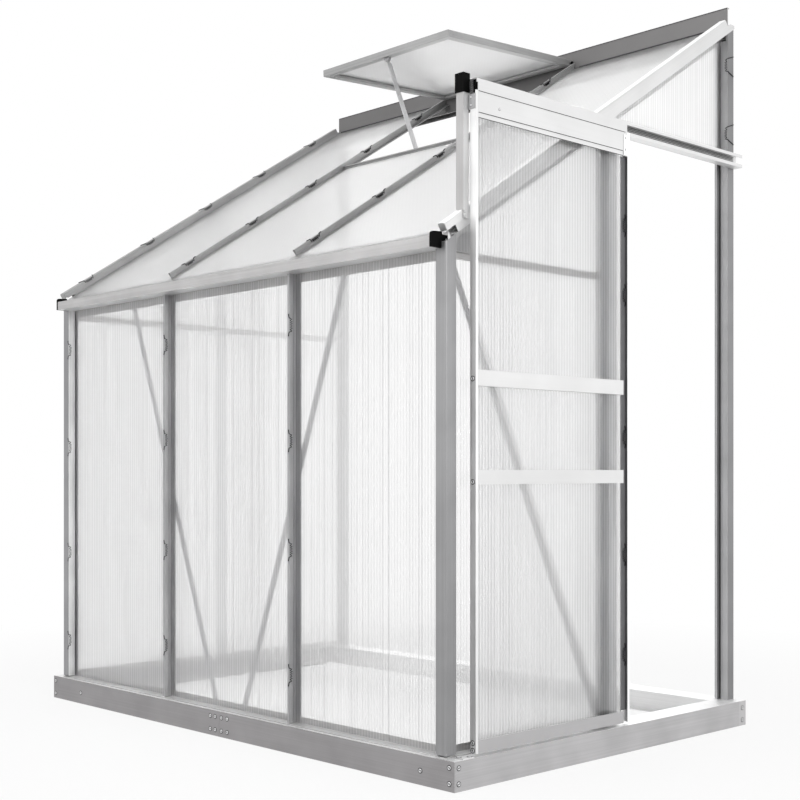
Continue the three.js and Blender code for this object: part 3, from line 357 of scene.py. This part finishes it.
def blackPlastic():
    # moulded polypropylene cap: satin black with a faint orange-peel skin
    material, tree = newMaterial("black moulded cap")
    place = addNode(tree, "ShaderNodeTexCoord")
    grain = addNode(tree, "ShaderNodeTexNoise", {"Scale": grainsPerMetre["cap"], "Detail": 2.0},
                    {"Vector": (place, "Object")})
    mix = addNode(tree, "ShaderNodeMix", {"data_type": "RGBA", 6: colour("#010101"), 7: colour("#060606")},
                  {0: (grain, 0)})
    bump = addNode(tree, "ShaderNodeBump", {"Strength": 0.15, "Distance": 0.0003}, {"Height": (grain, 0)})
    shader = addNode(tree, "ShaderNodeBsdfPrincipled", {"Roughness": 0.5, "Specular IOR Level": 0.05},
                     {"Base Color": (mix, 2), "Normal": (bump, 0)})
    addNode(tree, "ShaderNodeOutputMaterial", links={"Surface": (shader, 0)})
    return material


def rollerNylon():
    # turned nylon wheel: waxy off-white
    material, tree = newMaterial("natural nylon")
    place = addNode(tree, "ShaderNodeTexCoord")
    cloud = addNode(tree, "ShaderNodeTexNoise", {"Scale": grainsPerMetre["nylon"], "Detail": 2.0},
                    {"Vector": (place, "Object")})
    mix = addNode(tree, "ShaderNodeMix", {"data_type": "RGBA", 6: colour("#cfcfc8"), 7: colour("#e4e4de")},
                  {0: (cloud, 0)})
    shader = addNode(tree, "ShaderNodeBsdfPrincipled", {"Roughness": 0.45, "Subsurface Weight": 0.1},
                     {"Base Color": (mix, 2)})
    addNode(tree, "ShaderNodeOutputMaterial", links={"Surface": (shader, 0)})
    return material


def ribPlastic():
    # clear extruded wall, almost invisible by itself: it only breaks up what lies behind it
    material, tree = newMaterial("clear polycarbonate rib")
    place = addNode(tree, "ShaderNodeTexCoord")
    cloud = addNode(tree, "ShaderNodeTexNoise", {"Scale": grainsPerMetre["rib"], "Detail": 2.0},
                    {"Vector": (place, "Object")})
    mix = addNode(tree, "ShaderNodeMix", {"data_type": "RGBA", 6: colour("#dcdcde"), 7: colour("#e8e8e9")},
                  {0: (cloud, 0)})
    shader = addNode(tree, "ShaderNodeBsdfPrincipled", {"Roughness": 0.25, "IOR": 1.585, "Alpha": 0.05},
                     {"Base Color": (mix, 2)})
    addNode(tree, "ShaderNodeOutputMaterial", links={"Surface": (shader, 0)})
    return material


def springSteel(name, first, second, roughness):
    # drawn wire and rolled bolt heads, with a faint cloud between two tones
    material, tree = newMaterial(name)
    place = addNode(tree, "ShaderNodeTexCoord")
    cloud = addNode(tree, "ShaderNodeTexNoise", {"Scale": grainsPerMetre["steel"], "Detail": 2.0},
                    {"Vector": (place, "Object")})
    mix = addNode(tree, "ShaderNodeMix", {"data_type": "RGBA", 6: colour(first), 7: colour(second)},
                  {0: (cloud, 0)})
    shader = addNode(tree, "ShaderNodeBsdfPrincipled", {"Roughness": roughness, "Metallic": 0.9},
                     {"Base Color": (mix, 2)})
    addNode(tree, "ShaderNodeOutputMaterial", links={"Surface": (shader, 0)})
    return material


blackCap = blackPlastic()


def dress(names, material):
    for name in names.split():
        node = nodes[name]
        node.data.materials.clear()
        node.data.materials.append(material)


def dressFrame():
    dress("base_front_left base_front_right", millAluminium("base", "x"))
    dress("base_rear", millAluminium("rear base", "x", contrast=dieLines["faint"]))
    dress("base_end_door base_end_far", millAluminium("base", "y"))
    dress("sill_front gutter", millAluminium("gutter", "x"))
    dress("sill_door_end sill_far_end", millAluminium("gutter", "y"))
    dress("post_front_left", millAluminium("left post", "z"))
    dress("post_front_right", millAluminium("post", "z"))
    dress("post_rear_left post_rear_right", millAluminium("rear post", "z"))
    dress("stud_front_left stud_front_right stud_far_end", millAluminium("stud", "z"))
    dress("door_jamb_stud", millAluminium("jamb", "z"))
    dress("ridge_beam", millAluminium("ridge", "x", contrast=dieLines["faint"]))
    dress("vent_hinge_rail vent_free_rail vent_trimmer", millAluminium("vent", "x"))
    dress("rail_far_end rail_door_end door_header", millAluminium("gutter", "y"))
    dress("rafter_far_end rafter_left rafter_right", millAluminium("roof bar", "slope"))
    dress("rafter_door_end", millAluminium("door", "slope", contrast=dieLines["faint"]))
    dress("vent_rail_left vent_rail_right", millAluminium("vent", "y"))
    dress("brace_front_left brace_front_right brace_door_end vent_stay", millAluminium("brace", "z"))
    dress("door_track door_head", millAluminium("door", "y", contrast=dieLines["polished"]))
    dress("door_rail_upper door_rail_lower", millAluminium("mid rail", "y", contrast=dieLines["polished"]))
    dress("door_rail_bottom", millAluminium("door rail", "y", contrast=dieLines["faint"]))
    dress("door_stile_front", millAluminium("front stile", "z"))
    dress("door_stile_rear", millAluminium("rear stile", "z"))
    dress("track_strut", millAluminium("strut", "z"))
    dress("gutter_cap_left gutter_cap_right strut_cap", blackCap)
    dress("door_roller_front door_roller_rear", rollerNylon())
    dress("panel_front_left panel_front_middle panel_front_right", twinWall("twin-wall front", "X"))
    dress("panel_far_front panel_far_rear panel_door_end", twinWall("twin-wall gable", "Y", strength=0.8))
    dress("panel_over_door", twinWall("twin-wall over door", "Y", strength=0.6, cell="#ffffff"))
    dress("door_panel", twinWall("twin-wall door", "Y", cell="#ffffff", even=0.5))
    dress("panel_roof_left panel_roof_middle panel_roof_right",
          twinWall("twin-wall roof", "X", strength=0.12, dots=0.2, cell="#ffffff", opacity=0.6))
    dress("vent_panel", twinWall("twin-wall vent", "X", strength=0.2, dots=0.4, cell="#cecece", opacity=0.7))


dressFrame()
print("frame dressed")


# Node trees for what repeats: bolts set on points, and wire bent along a path

def startTree(name, sizes):
    tree = bpy.data.node_groups.new(name, "GeometryNodeTree")
    tree.interface.new_socket("Geometry", in_out="INPUT", socket_type="NodeSocketGeometry")
    for label, value in sizes.items():
        socket = tree.interface.new_socket(label, in_out="INPUT", socket_type="NodeSocketFloat")
        socket.default_value = value
    tree.interface.new_socket("Geometry", in_out="OUTPUT", socket_type="NodeSocketGeometry")
    return tree, tree.nodes.new("NodeGroupInput")


def endTree(tree, source, material, second=None, selection=None):
    plain = addNode(tree, "GeometryNodeRealizeInstances", links={"Geometry": source})
    coat = addNode(tree, "GeometryNodeSetMaterial", {"Material": material}, {"Geometry": (plain, 0)})
    if second:
        coat = addNode(tree, "GeometryNodeSetMaterial", {"Material": second},
                       {"Geometry": (coat, 0), "Selection": selection})
    addNode(tree, "NodeGroupOutput", links={"Geometry": (coat, 0)})


def boltTree(material, paintedShadowRing, sizes):
    # a button head is a ring round its socket, on a washer, and each turns to the way that its point faces;
    # the washer's dark material is a painted shadow ring round the head
    tree, entry = startTree("bolts on points", sizes)
    edge = addNode(tree, "GeometryNodeCurvePrimitiveCircle", {"Resolution": 14},
                   {"Radius": (entry, "Ring Radius")})
    profile = addNode(tree, "GeometryNodeCurvePrimitiveCircle", {"Resolution": 8},
                      {"Radius": (entry, "Ring Tube")})
    ring = addNode(tree, "GeometryNodeCurveToMesh", links={"Curve": (edge, 0), "Profile Curve": (profile, 0)})
    disc = addNode(tree, "GeometryNodeMeshCylinder", {"Vertices": 18},
                   {"Radius": (entry, "Washer Radius"), "Depth": (entry, "Washer Depth")})
    mark = {"data_type": "FLOAT", "domain": "FACE", "Name": "washer", "Value": 1.0}
    washer = addNode(tree, "GeometryNodeStoreNamedAttribute", mark, {"Geometry": (disc, 0)})
    bolt = addNode(tree, "GeometryNodeJoinGeometry", links={"Geometry": (ring, 0)})
    tree.links.new(washer.outputs[0], bolt.inputs[0])
    facing = addNode(tree, "GeometryNodeInputNamedAttribute", {"data_type": "FLOAT_VECTOR", "Name": "facing"})
    turn = addNode(tree, "FunctionNodeAlignRotationToVector", {"axis": "Z"}, {"Vector": (facing, 0)})
    placed = addNode(tree, "GeometryNodeInstanceOnPoints",
                     links={"Points": (entry, 0), "Instance": (bolt, 0), "Rotation": (turn, 0)})
    marked = addNode(tree, "GeometryNodeInputNamedAttribute", {"data_type": "FLOAT", "Name": "washer"})
    endTree(tree, (placed, 0), material, paintedShadowRing, (marked, 0))
    return tree


def ribTree(material, sizes):
    # one upright wall of a sheet on each point, as long as its "rib length" and turned by its "rib turn"
    tree, entry = startTree("ribs on points", sizes)
    size = addNode(tree, "ShaderNodeCombineXYZ", {"Z": 1.0},
                   {"X": (entry, "Rib Thickness"), "Y": (entry, "Rib Depth")})
    wall = addNode(tree, "GeometryNodeMeshCube", links={"Size": (size, 0)})
    length = addNode(tree, "GeometryNodeInputNamedAttribute", {"data_type": "FLOAT", "Name": "rib length"})
    stretch = addNode(tree, "ShaderNodeCombineXYZ", {"X": 1.0, "Y": 1.0}, {"Z": (length, 0)})
    angles = addNode(tree, "GeometryNodeInputNamedAttribute",
                     {"data_type": "FLOAT_VECTOR", "Name": "rib turn"})
    turn = addNode(tree, "FunctionNodeEulerToRotation", links={0: (angles, 0)})
    sources = {"Points": (entry, 0), "Instance": (wall, 0), "Rotation": (turn, 0), "Scale": (stretch, 0)}
    placed = addNode(tree, "GeometryNodeInstanceOnPoints", links=sources)
    endTree(tree, (placed, 0), material)
    return tree


def wireTree(material, sizes):
    tree, entry = startTree("wire on a path", sizes)
    path = addNode(tree, "GeometryNodeMeshToCurve", links={"Mesh": (entry, 0)})
    ring = addNode(tree, "GeometryNodeCurvePrimitiveCircle", {"Resolution": 6},
                   {"Radius": (entry, "Wire Radius")})
    wire = addNode(tree, "GeometryNodeCurveToMesh", {"Fill Caps": True},
                   {"Curve": (path, 0), "Profile Curve": (ring, 0)})
    endTree(tree, (wire, 0), material)
    return tree


def keep(piece, body):
    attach(piece, body)
    return piece


def grow(name, points, edges, tree, sizes, body, vectors=None, numbers=None):
    seed = bpy.data.meshes.new(name + " seed")
    seed.from_pydata(points, edges, [])
    for label, values in (vectors or {}).items():
        flat = [number for way in values for number in way]
        seed.attributes.new(label, "FLOAT_VECTOR", "POINT").data.foreach_set("vector", flat)
    for label, values in (numbers or {}).items():
        seed.attributes.new(label, "FLOAT", "POINT").data.foreach_set("value", values)
    holder = bpy.data.objects.new(name + " seed", seed)
    scene.collection.objects.link(holder)
    modifier = holder.modifiers.new("tree", "NODES")
    modifier.node_group = tree
    for socket in tree.interface.items_tree:
        if socket.in_out == "INPUT" and socket.name in sizes:
            modifier[socket.identifier] = sizes[socket.name]
    graph = bpy.context.evaluated_depsgraph_get()
    mesh = bpy.data.meshes.new_from_object(holder.evaluated_get(graph))
    bpy.data.objects.remove(holder)
    piece = bpy.data.objects.new(name, mesh)
    scene.collection.objects.link(piece)
    return keep(piece, body)


# Bolts, in rows that face one way

bolts = {
    "sizes": {"Ring Radius": 0.0038, "Ring Tube": 0.0016, "Washer Radius": 0.0072, "Washer Depth": 0.0010},
    "frame": [
        ((0, -1, 0), [(-0.952, -0.635, 0.059), (-0.952, -0.635, 0.016), (-0.786, -0.635, 0.036),
                      (-0.044, -0.635, 0.057), (-0.020, -0.635, 0.057), (0.011, -0.635, 0.057),
                      (0.039, -0.635, 0.057), (-0.044, -0.635, 0.018), (-0.020, -0.635, 0.018),
                      (0.011, -0.635, 0.018), (0.039, -0.635, 0.018), (0.846, -0.635, 0.036),
                      (0.947, -0.635, 0.0587), (0.947, -0.635, 0.0194)]),
        ((1, 0, 0), [(0.965, -0.620, 0.0584), (0.965, -0.620, 0.0194), (0.965, 0.638, 0.054),
                     (0.965, 0.638, 0.017)]),
        ((-1, 0, 0), [(-0.965, -0.600, 0.0584), (-0.965, -0.600, 0.0194), (-0.965, 0.638, 0.054),
                      (-0.965, 0.638, 0.017)]),
        ((0, 0, 1), [(0.937, -0.591, 0.0768), (0.951, -0.567, 0.0768)]),
    ],
    "door": [
        ((0, -1, 0), [(0.9446, -0.549, 0.1068), (0.9446, -0.549, 0.0882), (0.9446, -0.549, 0.7559),
                      (0.9446, -0.549, 1.013)]),
    ],
}
rivets = {
    "sizes": {"Ring Radius": 0.0019, "Ring Tube": 0.0012, "Washer Radius": 0.0036, "Washer Depth": 0.0006},
    "frame": [((1, 0, 0), [(0.9303, -0.563, 1.4287), (0.9303, -0.562, 1.4167)])],
    "door": [
        ((1, 0, 0), [(0.955, -0.4616, 1.696), (0.9560, 0.0600, 1.7120), (0.9560, 0.0600, 1.6800)]),
        ((0, -1, 0), [(0.9410, -0.5513, 1.7130), (0.9410, -0.5513, 1.6930)]),
    ],
}


def addBolts():
    steel = springSteel("zinc plated bolts", "#c0c0c1", "#e2e2e3", 0.3)
    # dark washers: painted shadow round each bolt head
    paintedShadowRing = springSteel("dark washers as painted shadow rings", "#3c3c3d", "#5a5a5b", 0.5)
    tree = boltTree(steel, paintedShadowRing, bolts["sizes"])
    for label, plan in (("bolts", bolts), ("rivets", rivets)):
        for body in ("frame", "door"):
            points = [point for _, row in plan[body] for point in row]
            facing = [way for way, row in plan[body] for _ in row]
            grow(f"{label}_{body}", points, [], tree, plan["sizes"], body,
                 {"facing": facing})


# Glazing clips: each is one bent wire with a leg over the bar's bead and a zigzag in its groove

clips = {
    "sizes": {"Wire Radius": 0.0015},
    "periods": 5,
    "zigzag": 0.012,  # half its length along the bar
    "zigzagAcross": (0.0053, 0.0046),
    "zigzagDeep": (0.0025, 0.011),
    "proud": -0.001,
    "leg": 0.020,
    "reach": 0.031,
    "bend": (0.005, 0.008, 0.003),  # across, deep, and back along the bar
    "bead": 0.0017,
    "frontY": -0.6225,
    "frontBars": {-0.8925: (1.198, 0.865, 0.505, 0.203), -0.308: (1.176, 0.88, 0.537, 0.24),
                  0.308: (1.19, 0.867, 0.563, 0.214)},
    "roofRuns": (0.103, 0.40, 0.70, 1.0, 1.3),
    "roofBars": {"x": (-0.308, 0.308), "drop": 0.008},
    "farRafter": {"x": -0.910, "drop": 0, "over": -0.015},
    "rearPost": {"x": 0.924, "y": 0.6255, "over": -0.026, "heights": (2.039, 1.828)},
    "farStud": {"x": -0.924, "y": 0.030, "heights": (1.52, 1.1, 0.65, 0.24)},
    "doorStile": {"x": 0.944, "y": 0.0685, "heights": (1.47, 1.275, 0.878, 0.549, 0.27)},
}
upward = (0, 0, 1)


def clipPath(over):
    # over is how far the leg reaches back across the bead
    half = clips["zigzag"]
    steps = clips["periods"] * 2
    near, far = clips["zigzagAcross"]
    shallow, deep = clips["zigzagDeep"]
    across, down, back = clips["bend"]
    points = [(over, clips["proud"], clips["reach"]), (across, clips["proud"], clips["leg"]),
              (near, down, clips["leg"] - back)]
    for index in range(steps + 1):
        spot = (near, shallow) if index % 2 == 0 else (far, deep)
        points.append((*spot, half - index * 2 * half / steps))
    return points + [(a, d, -r) for a, d, r in reversed(points[:3])]


def clipAt(origin, axes, over):
    # axes run across the bar, into its groove and along it
    return [tuple(origin[k] + a * axes[0][k] + d * axes[1][k] + r * axes[2][k] for k in range(3))
            for a, d, r in clipPath(over)]


def clipRow(row, across, inward):
    axes = (across, inward, upward)
    return [clipAt((row["x"], row["y"], z), axes, row.get("over", clips["bead"])) for z in row["heights"]]


def roofSpot(x, run, drop):
    y, z = eavesLine
    return (x, y + run * slopeAlong[1] + drop * slopeDown[1], z + run * slopeAlong[2] + drop * slopeDown[2])


def roofClips():
    axes = ((1, 0, 0), slopeDown, slopeAlong)
    edge, bars = clips["farRafter"], clips["roofBars"]
    paths = []
    for run in clips["roofRuns"]:
        paths.append(clipAt(roofSpot(edge["x"], run, edge["drop"]), axes, edge["over"]))
        paths += [clipAt(roofSpot(x, run, bars["drop"]), axes, clips["bead"]) for x in bars["x"]]
    return paths


def frameClips():
    paths = []
    for x, heights in clips["frontBars"].items():
        paths += clipRow({"x": x, "y": clips["frontY"], "heights": heights}, (1, 0, 0), (0, 1, 0))
    paths += roofClips()
    paths += clipRow(clips["rearPost"], (0, -1, 0), (-1, 0, 0))
    paths += clipRow(clips["farStud"], (0, 1, 0), (1, 0, 0))
    return paths


def doorClips():
    return clipRow(clips["doorStile"], (1, 0, 0), (0, -1, 0))


def addClips():
    wire = springSteel("sprung glazing wire", "#121213", "#303031", 0.5)
    tree = wireTree(wire, clips["sizes"])
    for body, paths in (("frame", frameClips()), ("door", doorClips())):
        points, edges = [], []
        for path in paths:
            edges += [(len(points) + index, len(points) + index + 1) for index in range(len(path) - 1)]
            points += path
        grow(f"glazing_clips_{body}", points, edges, tree, clips["sizes"], body)


# The walls inside the twin-wall sheets, at the same places as the lines on their skins

ribs = {
    "sizes": {"Rib Thickness": 0.0005, "Rib Depth": 0.0034},
    "margin": 0.0012,
    "endReach": 0.004,  # points this near to an end of the sheet belong to it
    "frame": [
        ("panel_front_left panel_front_middle panel_front_right", 0, (0, 0, 1), (0, 0, 0)),
        ("panel_far_front panel_far_rear panel_door_end panel_over_door", 1, (0, 0, 1), (0, 0, math.pi / 2)),
        ("panel_roof_left panel_roof_middle panel_roof_right", 0, slopeAlong,
         (roofAngle - math.pi / 2, 0, 0)),
    ],
    "door": [("door_panel", 1, (0, 0, 1), (0, 0, math.pi / 2))],
    "vent": [("vent_panel", 0, ventAlong, (math.pi / 2 + ventTilt, 0, 0))],
}


def sliceMesh(node, axis, at):
    # points where the sheet's own mesh crosses a plane
    places = [vertex.co for vertex in node.data.vertices]
    found = []
    for edge in node.data.edges:
        a, b = (places[index] for index in edge.vertices)
        if (a[axis] - at) * (b[axis] - at) < 0:
            found.append(a.lerp(b, (at - a[axis]) / (b[axis] - a[axis])))
    return found


def ribSpots(names, axis, along, turn):
    pitch = sheetLook["ribPitch"]
    along = Vector(along)
    for name in names.split():
        low, high = (corner[axis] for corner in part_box(name))
        first = math.ceil((low + ribs["margin"]) / pitch - 0.5)
        last = math.floor((high - ribs["margin"]) / pitch + 0.5)
        for count in range(first, last):
            points = sliceMesh(nodes[name], axis, (count + 0.5) * pitch)
            if not points:
                continue
            runs = [point.dot(along) for point in points]
            ends = [[point for point, run in zip(points, runs) if abs(run - end) < ribs["endReach"]]
                    for end in (min(runs), max(runs))]
            centres = [sum(group, Vector()) / len(group) for group in ends]
            middle = (centres[0] + centres[1]) / 2
            yield tuple(middle), max(runs) - min(runs) - 2 * ribs["margin"], turn


def addRibs():
    clear = ribPlastic()
    tree = ribTree(clear, ribs["sizes"])
    for body in ("frame", "door", "vent"):
        spots = [spot for row in ribs[body] for spot in ribSpots(*row)]
        points, lengths, turns = zip(*spots)
        grow(f"sheet_ribs_{body}", points, [], tree, ribs["sizes"], body,
             {"rib turn": turns}, {"rib length": lengths})


addBolts()
addClips()
addRibs()
print("bolts, clips and ribs set")


# Folded and moulded trim, each an outline drawn out along one axis and eased at its edges

def draw(name, parts, material, body, ease=0.0003):
    shape = bmesh.new()
    for outline, place, low, high in parts:
        rings = [[shape.verts.new(place(a, b, depth)) for a, b in outline] for depth in (low, high)]
        shape.faces.new(rings[0])
        shape.faces.new(list(reversed(rings[1])))
        count = len(outline)
        for index in range(count):
            after = (index + 1) % count
            shape.faces.new((rings[0][index], rings[1][index], rings[1][after], rings[0][after]))
    bmesh.ops.recalc_face_normals(shape, faces=shape.faces[:])
    bmesh.ops.bevel(shape, geom=shape.edges[:], offset=ease, segments=1, affect="EDGES")
    mesh = bpy.data.meshes.new(name)
    shape.to_mesh(mesh)
    shape.free()
    piece = bpy.data.objects.new(name, mesh)
    scene.collection.objects.link(piece)
    mesh.materials.append(material)
    return keep(piece, body)


def alongX(y, z, x):
    return (x, y, z)


def alongY(x, z, y):
    return (x, y, z)


def alongZ(x, y, z):
    return (x, y, z)


def rectangle(a0, a1, b0, b1):
    return [(a0, b0), (a1, b0), (a1, b1), (a0, b1)]


def rubber(name, first, second):
    # extruded rubber lip: matt, a little dusty; the same matt dark strips also stand as painted shade in
    # grooves and channels
    material, tree = newMaterial(name)
    place = addNode(tree, "ShaderNodeTexCoord")
    dust = addNode(tree, "ShaderNodeTexNoise", {"Scale": grainsPerMetre["rubber"], "Detail": 3.0},
                   {"Vector": (place, "Object")})
    mix = addNode(tree, "ShaderNodeMix", {"data_type": "RGBA", 6: colour(first), 7: colour(second)},
                  {0: (dust, 0)})
    shader = addNode(tree, "ShaderNodeBsdfPrincipled", {"Roughness": 0.8, "Specular IOR Level": 0.3},
                     {"Base Color": (mix, 2)})
    addNode(tree, "ShaderNodeOutputMaterial", links={"Surface": (shader, 0)})
    return material


wallSeals = {
    "face": 0.6305,
    "gap": 0.0001,
    "topThick": 0.0008,
    "topHeights": (2.2185, 2.2210),
    "topEnd": 0.916,
    "footThick": 0.0012,
    "footHeights": (2.1610, 2.1650),
    "footX": (0.332, 0.904),
}
# dark strips painted as the shadow in the door head's grooves
headGrooveShadows = {
    # height, the face it lies on and where it ends
    "rows": [(1.7285, 0.955, 0.060), (1.6755, 0.9545, 0.0488), (1.6622, 0.9545, 0.0488)],
    "start": -0.5385,
    "tall": 0.0016,
    "thick": 0.0007,
}


def addSealsAndGrooveShadows():
    # one dark rubber for the wall seals and for the painted groove shadow on the door head
    seal = rubber("wall seal rubber and painted groove shade", "#2e2e2f", "#48484a")
    face, gap, end = wallSeals["face"], wallSeals["gap"], wallSeals["topEnd"]
    low, high = wallSeals["footX"]
    top = rectangle(face - wallSeals["topThick"], face - gap, *wallSeals["topHeights"])
    foot = rectangle(face - wallSeals["footThick"], face - gap, *wallSeals["footHeights"])
    parts = [(top, alongX, -end, end), (foot, alongX, -high, -low), (foot, alongX, low, high)]
    draw("wall_seals", parts, seal, "frame")
    # the door head's three dark strips are painted groove shadow
    half = headGrooveShadows["tall"] / 2
    parts = [(rectangle(face, face + headGrooveShadows["thick"], z - half, z + half), alongY, headGrooveShadows["start"], end)
             for z, face, end in headGrooveShadows["rows"]]
    draw("door_head_groove_shadows", parts, seal, "door", ease=0.0002)


doorTrim = {
    "endPlate": {"x": (0.9551, 0.9560), "y": (0.0515, 0.0685), "z": (1.664, 1.7212)},
    # a grey strip painted as the shade on the inner face of the rear stile's channel
    "channelShadeStrip": {"x": (0.9447, 0.9453), "y": (0.0530, 0.0766), "z": (0.115, 1.660)},
    "hanger": [(0.9318, 1.684), (0.9535, 1.684), (0.9535, 1.7208), (0.9348, 1.7208), (0.9318, 1.7175)],
    "hangerY": (-0.5513, -0.5493),
}


def addDoorTrim(tone):
    plate, strip = doorTrim["endPlate"], doorTrim["channelShadeStrip"]
    end = (rectangle(*plate["x"], *plate["z"]), alongY, *plate["y"])
    draw("door_head_end_plate", [end], tone, "door")
    # the channel's shade is painted as a dark grey strip on its inner face
    lip = (rectangle(*strip["x"], *strip["y"]), alongZ, *strip["z"])
    draw("door_channel_shade_strip", [lip], rubber("grey strip as painted channel shade", "#5c5c5e", "#747476"), "door",
         ease=0.0002)
    hanger = (doorTrim["hanger"], alongY, *doorTrim["hangerY"])
    draw("door_hanger_plate", [hanger], millAluminium("stud", "z"), "door")


trackTrim = {
    "teeth": 6,
    "toothPitch": 0.0052,
    "toothTall": 0.0026,
    "toothX": (0.9318, 0.9340, 0.9402),  # back, root and tip
    "toothFoot": 1.7262,
    "stopY": (-0.5428, -0.530),
    "plug": {"x": (0.9412, 0.9504), "y": (-0.5440, -0.530), "z": (1.7262, 1.7576)},
    # dark lines painted as the shade in the track's grooves
    "lineHeights": (1.7372, 1.7414, 1.7456, 1.7498, 1.7540),
    "lineTall": 0.0018,
    "lineX": (0.9317, 0.9321),
    "lineY": (-0.520, 0.640),
    "guide": [(0.928, -0.600), (0.960, -0.600), (0.960, -0.560), (0.940, -0.556), (0.928, -0.572)],
    "guideZ": (0.0752, 0.0768),
}


def stopOutline():
    back, root, tip = trackTrim["toothX"]
    foot, pitch, tall = trackTrim["toothFoot"], trackTrim["toothPitch"], trackTrim["toothTall"]
    teeth = []
    for index in range(trackTrim["teeth"]):
        z = foot + index * pitch
        teeth += [(back, z), (tip, z), (tip, z + tall), (root, z + tall)]
    return teeth + [(back, foot + trackTrim["teeth"] * pitch)]


def addTrackTrim(tone):
    stop = (stopOutline(), alongY, *trackTrim["stopY"])
    draw("track_stop", [stop], tone, "frame", ease=0.0002)
    plug = trackTrim["plug"]
    draw("track_plug", [(rectangle(*plug["x"], *plug["z"]), alongY, *plug["y"])], blackCap, "frame",
         ease=0.0009)
    # the track's grooves are drawn as dark lines of painted shade
    half = trackTrim["lineTall"] / 2
    lines = [(rectangle(*trackTrim["lineX"], z - half, z + half), alongY, *trackTrim["lineY"])
             for z in trackTrim["lineHeights"]]
    draw("track_groove_shade_lines", lines, rubber("dark lines as painted track groove shade", "#4c4c4d", "#6c6c6e"), "frame",
         ease=0.0001)
    guide = (trackTrim["guide"], alongZ, *trackTrim["guideZ"])
    draw("door_guide_plate", [guide], tone, "frame")


roofTrim = {
    "gableX": 0.924,
    "nose": [(-0.0038, 0.0209), (-0.0038, 0.006), (-0.0024, 0.0022), (0.002, 0.0003), (0.0183, 0.0003),
             (0.0183, 0.0209)],
    "noseRun": (-0.0136, -0.0123),
    # eaves corner plates; behind the door-end sheet they also stand where the rafter and gutter cast shade,
    # greying the sheet as painted shade
    "gusset": [(-0.588, 1.335), (-0.487, 1.335), (-0.487, 1.417), (-0.588, 1.353)],
    "gussetX": (0.8909, 0.8925),
    "hinge": (0.627, 2.183),
    "plugRadius": 0.0052,
    "plugSides": 10,
    "plugX": (0.3004, 0.3060),
}


def bothEnds(outline, low, high):
    return [(outline, alongX, side * low, side * high) for side in (-1, 1)]


def addRoofTrim():
    def nose(side):
        def place(inward, drop, run):
            return roofSpot(side * (roofTrim["gableX"] - inward), run, drop)
        return place

    for name, side, tone in (("rafter_nose_door_end", 1, "door"), ("rafter_nose_far_end", -1, "roof bar")):
        bead = (roofTrim["nose"], nose(side), *roofTrim["noseRun"])
        draw(name, [bead], millAluminium(tone, "slope"), "frame")
    # real corner plates, also greying the door-end sheet as painted shade of rafter and gutter
    gussets = bothEnds(roofTrim["gusset"], *roofTrim["gussetX"])
    draw("eaves_gussets", gussets, millAluminium("stud", "z"), "frame")
    (y, z), radius, count = roofTrim["hinge"], roofTrim["plugRadius"], roofTrim["plugSides"]
    turns = [index * 2 * math.pi / count for index in range(count)]
    plug = [(y + radius * math.cos(turn), z + radius * math.sin(turn)) for turn in turns]
    plugs = bothEnds(plug, *roofTrim["plugX"])
    draw("hinge_plugs", plugs, blackCap, "frame", ease=0.0008)


stayBracket = {
    "middle": 0.007,
    "cheek": [(-0.5955, -0.0112), (-0.580, -0.0112), (-0.582, -0.020), (-0.588, -0.0245), (-0.594, -0.020)],
    "cheekX": (0.0047, 0.0059),
    "front": [(-0.005, -0.0112), (0.022, -0.0112), (0.015, -0.022), (0.000, -0.022)],
    "frontY": (-0.5975, -0.5962),
}


def addStayBracket():
    # drawn in the vent's own directions from its hinge
    vent = Matrix.Translation((0, *roofTrim["hinge"])) @ Matrix.Rotation(ventTilt, 4, "X")

    def across(y, z, x):
        return vent @ Vector((x, y, z))

    def facing(x, z, y):
        return vent @ Vector((x, y, z))

    middle, (near, far) = stayBracket["middle"], stayBracket["cheekX"]
    parts = [(stayBracket["cheek"], across, middle + side * near, middle + side * far) for side in (-1, 1)]
    parts.append((stayBracket["front"], facing, *stayBracket["frontY"]))
    draw("stay_bracket", parts, millAluminium("stud", "z"), "vent", ease=0.0002)


brightMill = millAluminium("rear stile", "z")
addSealsAndGrooveShadows()
addDoorTrim(brightMill)
addTrackTrim(brightMill)
addRoofTrim()
addStayBracket()
print("trim added")
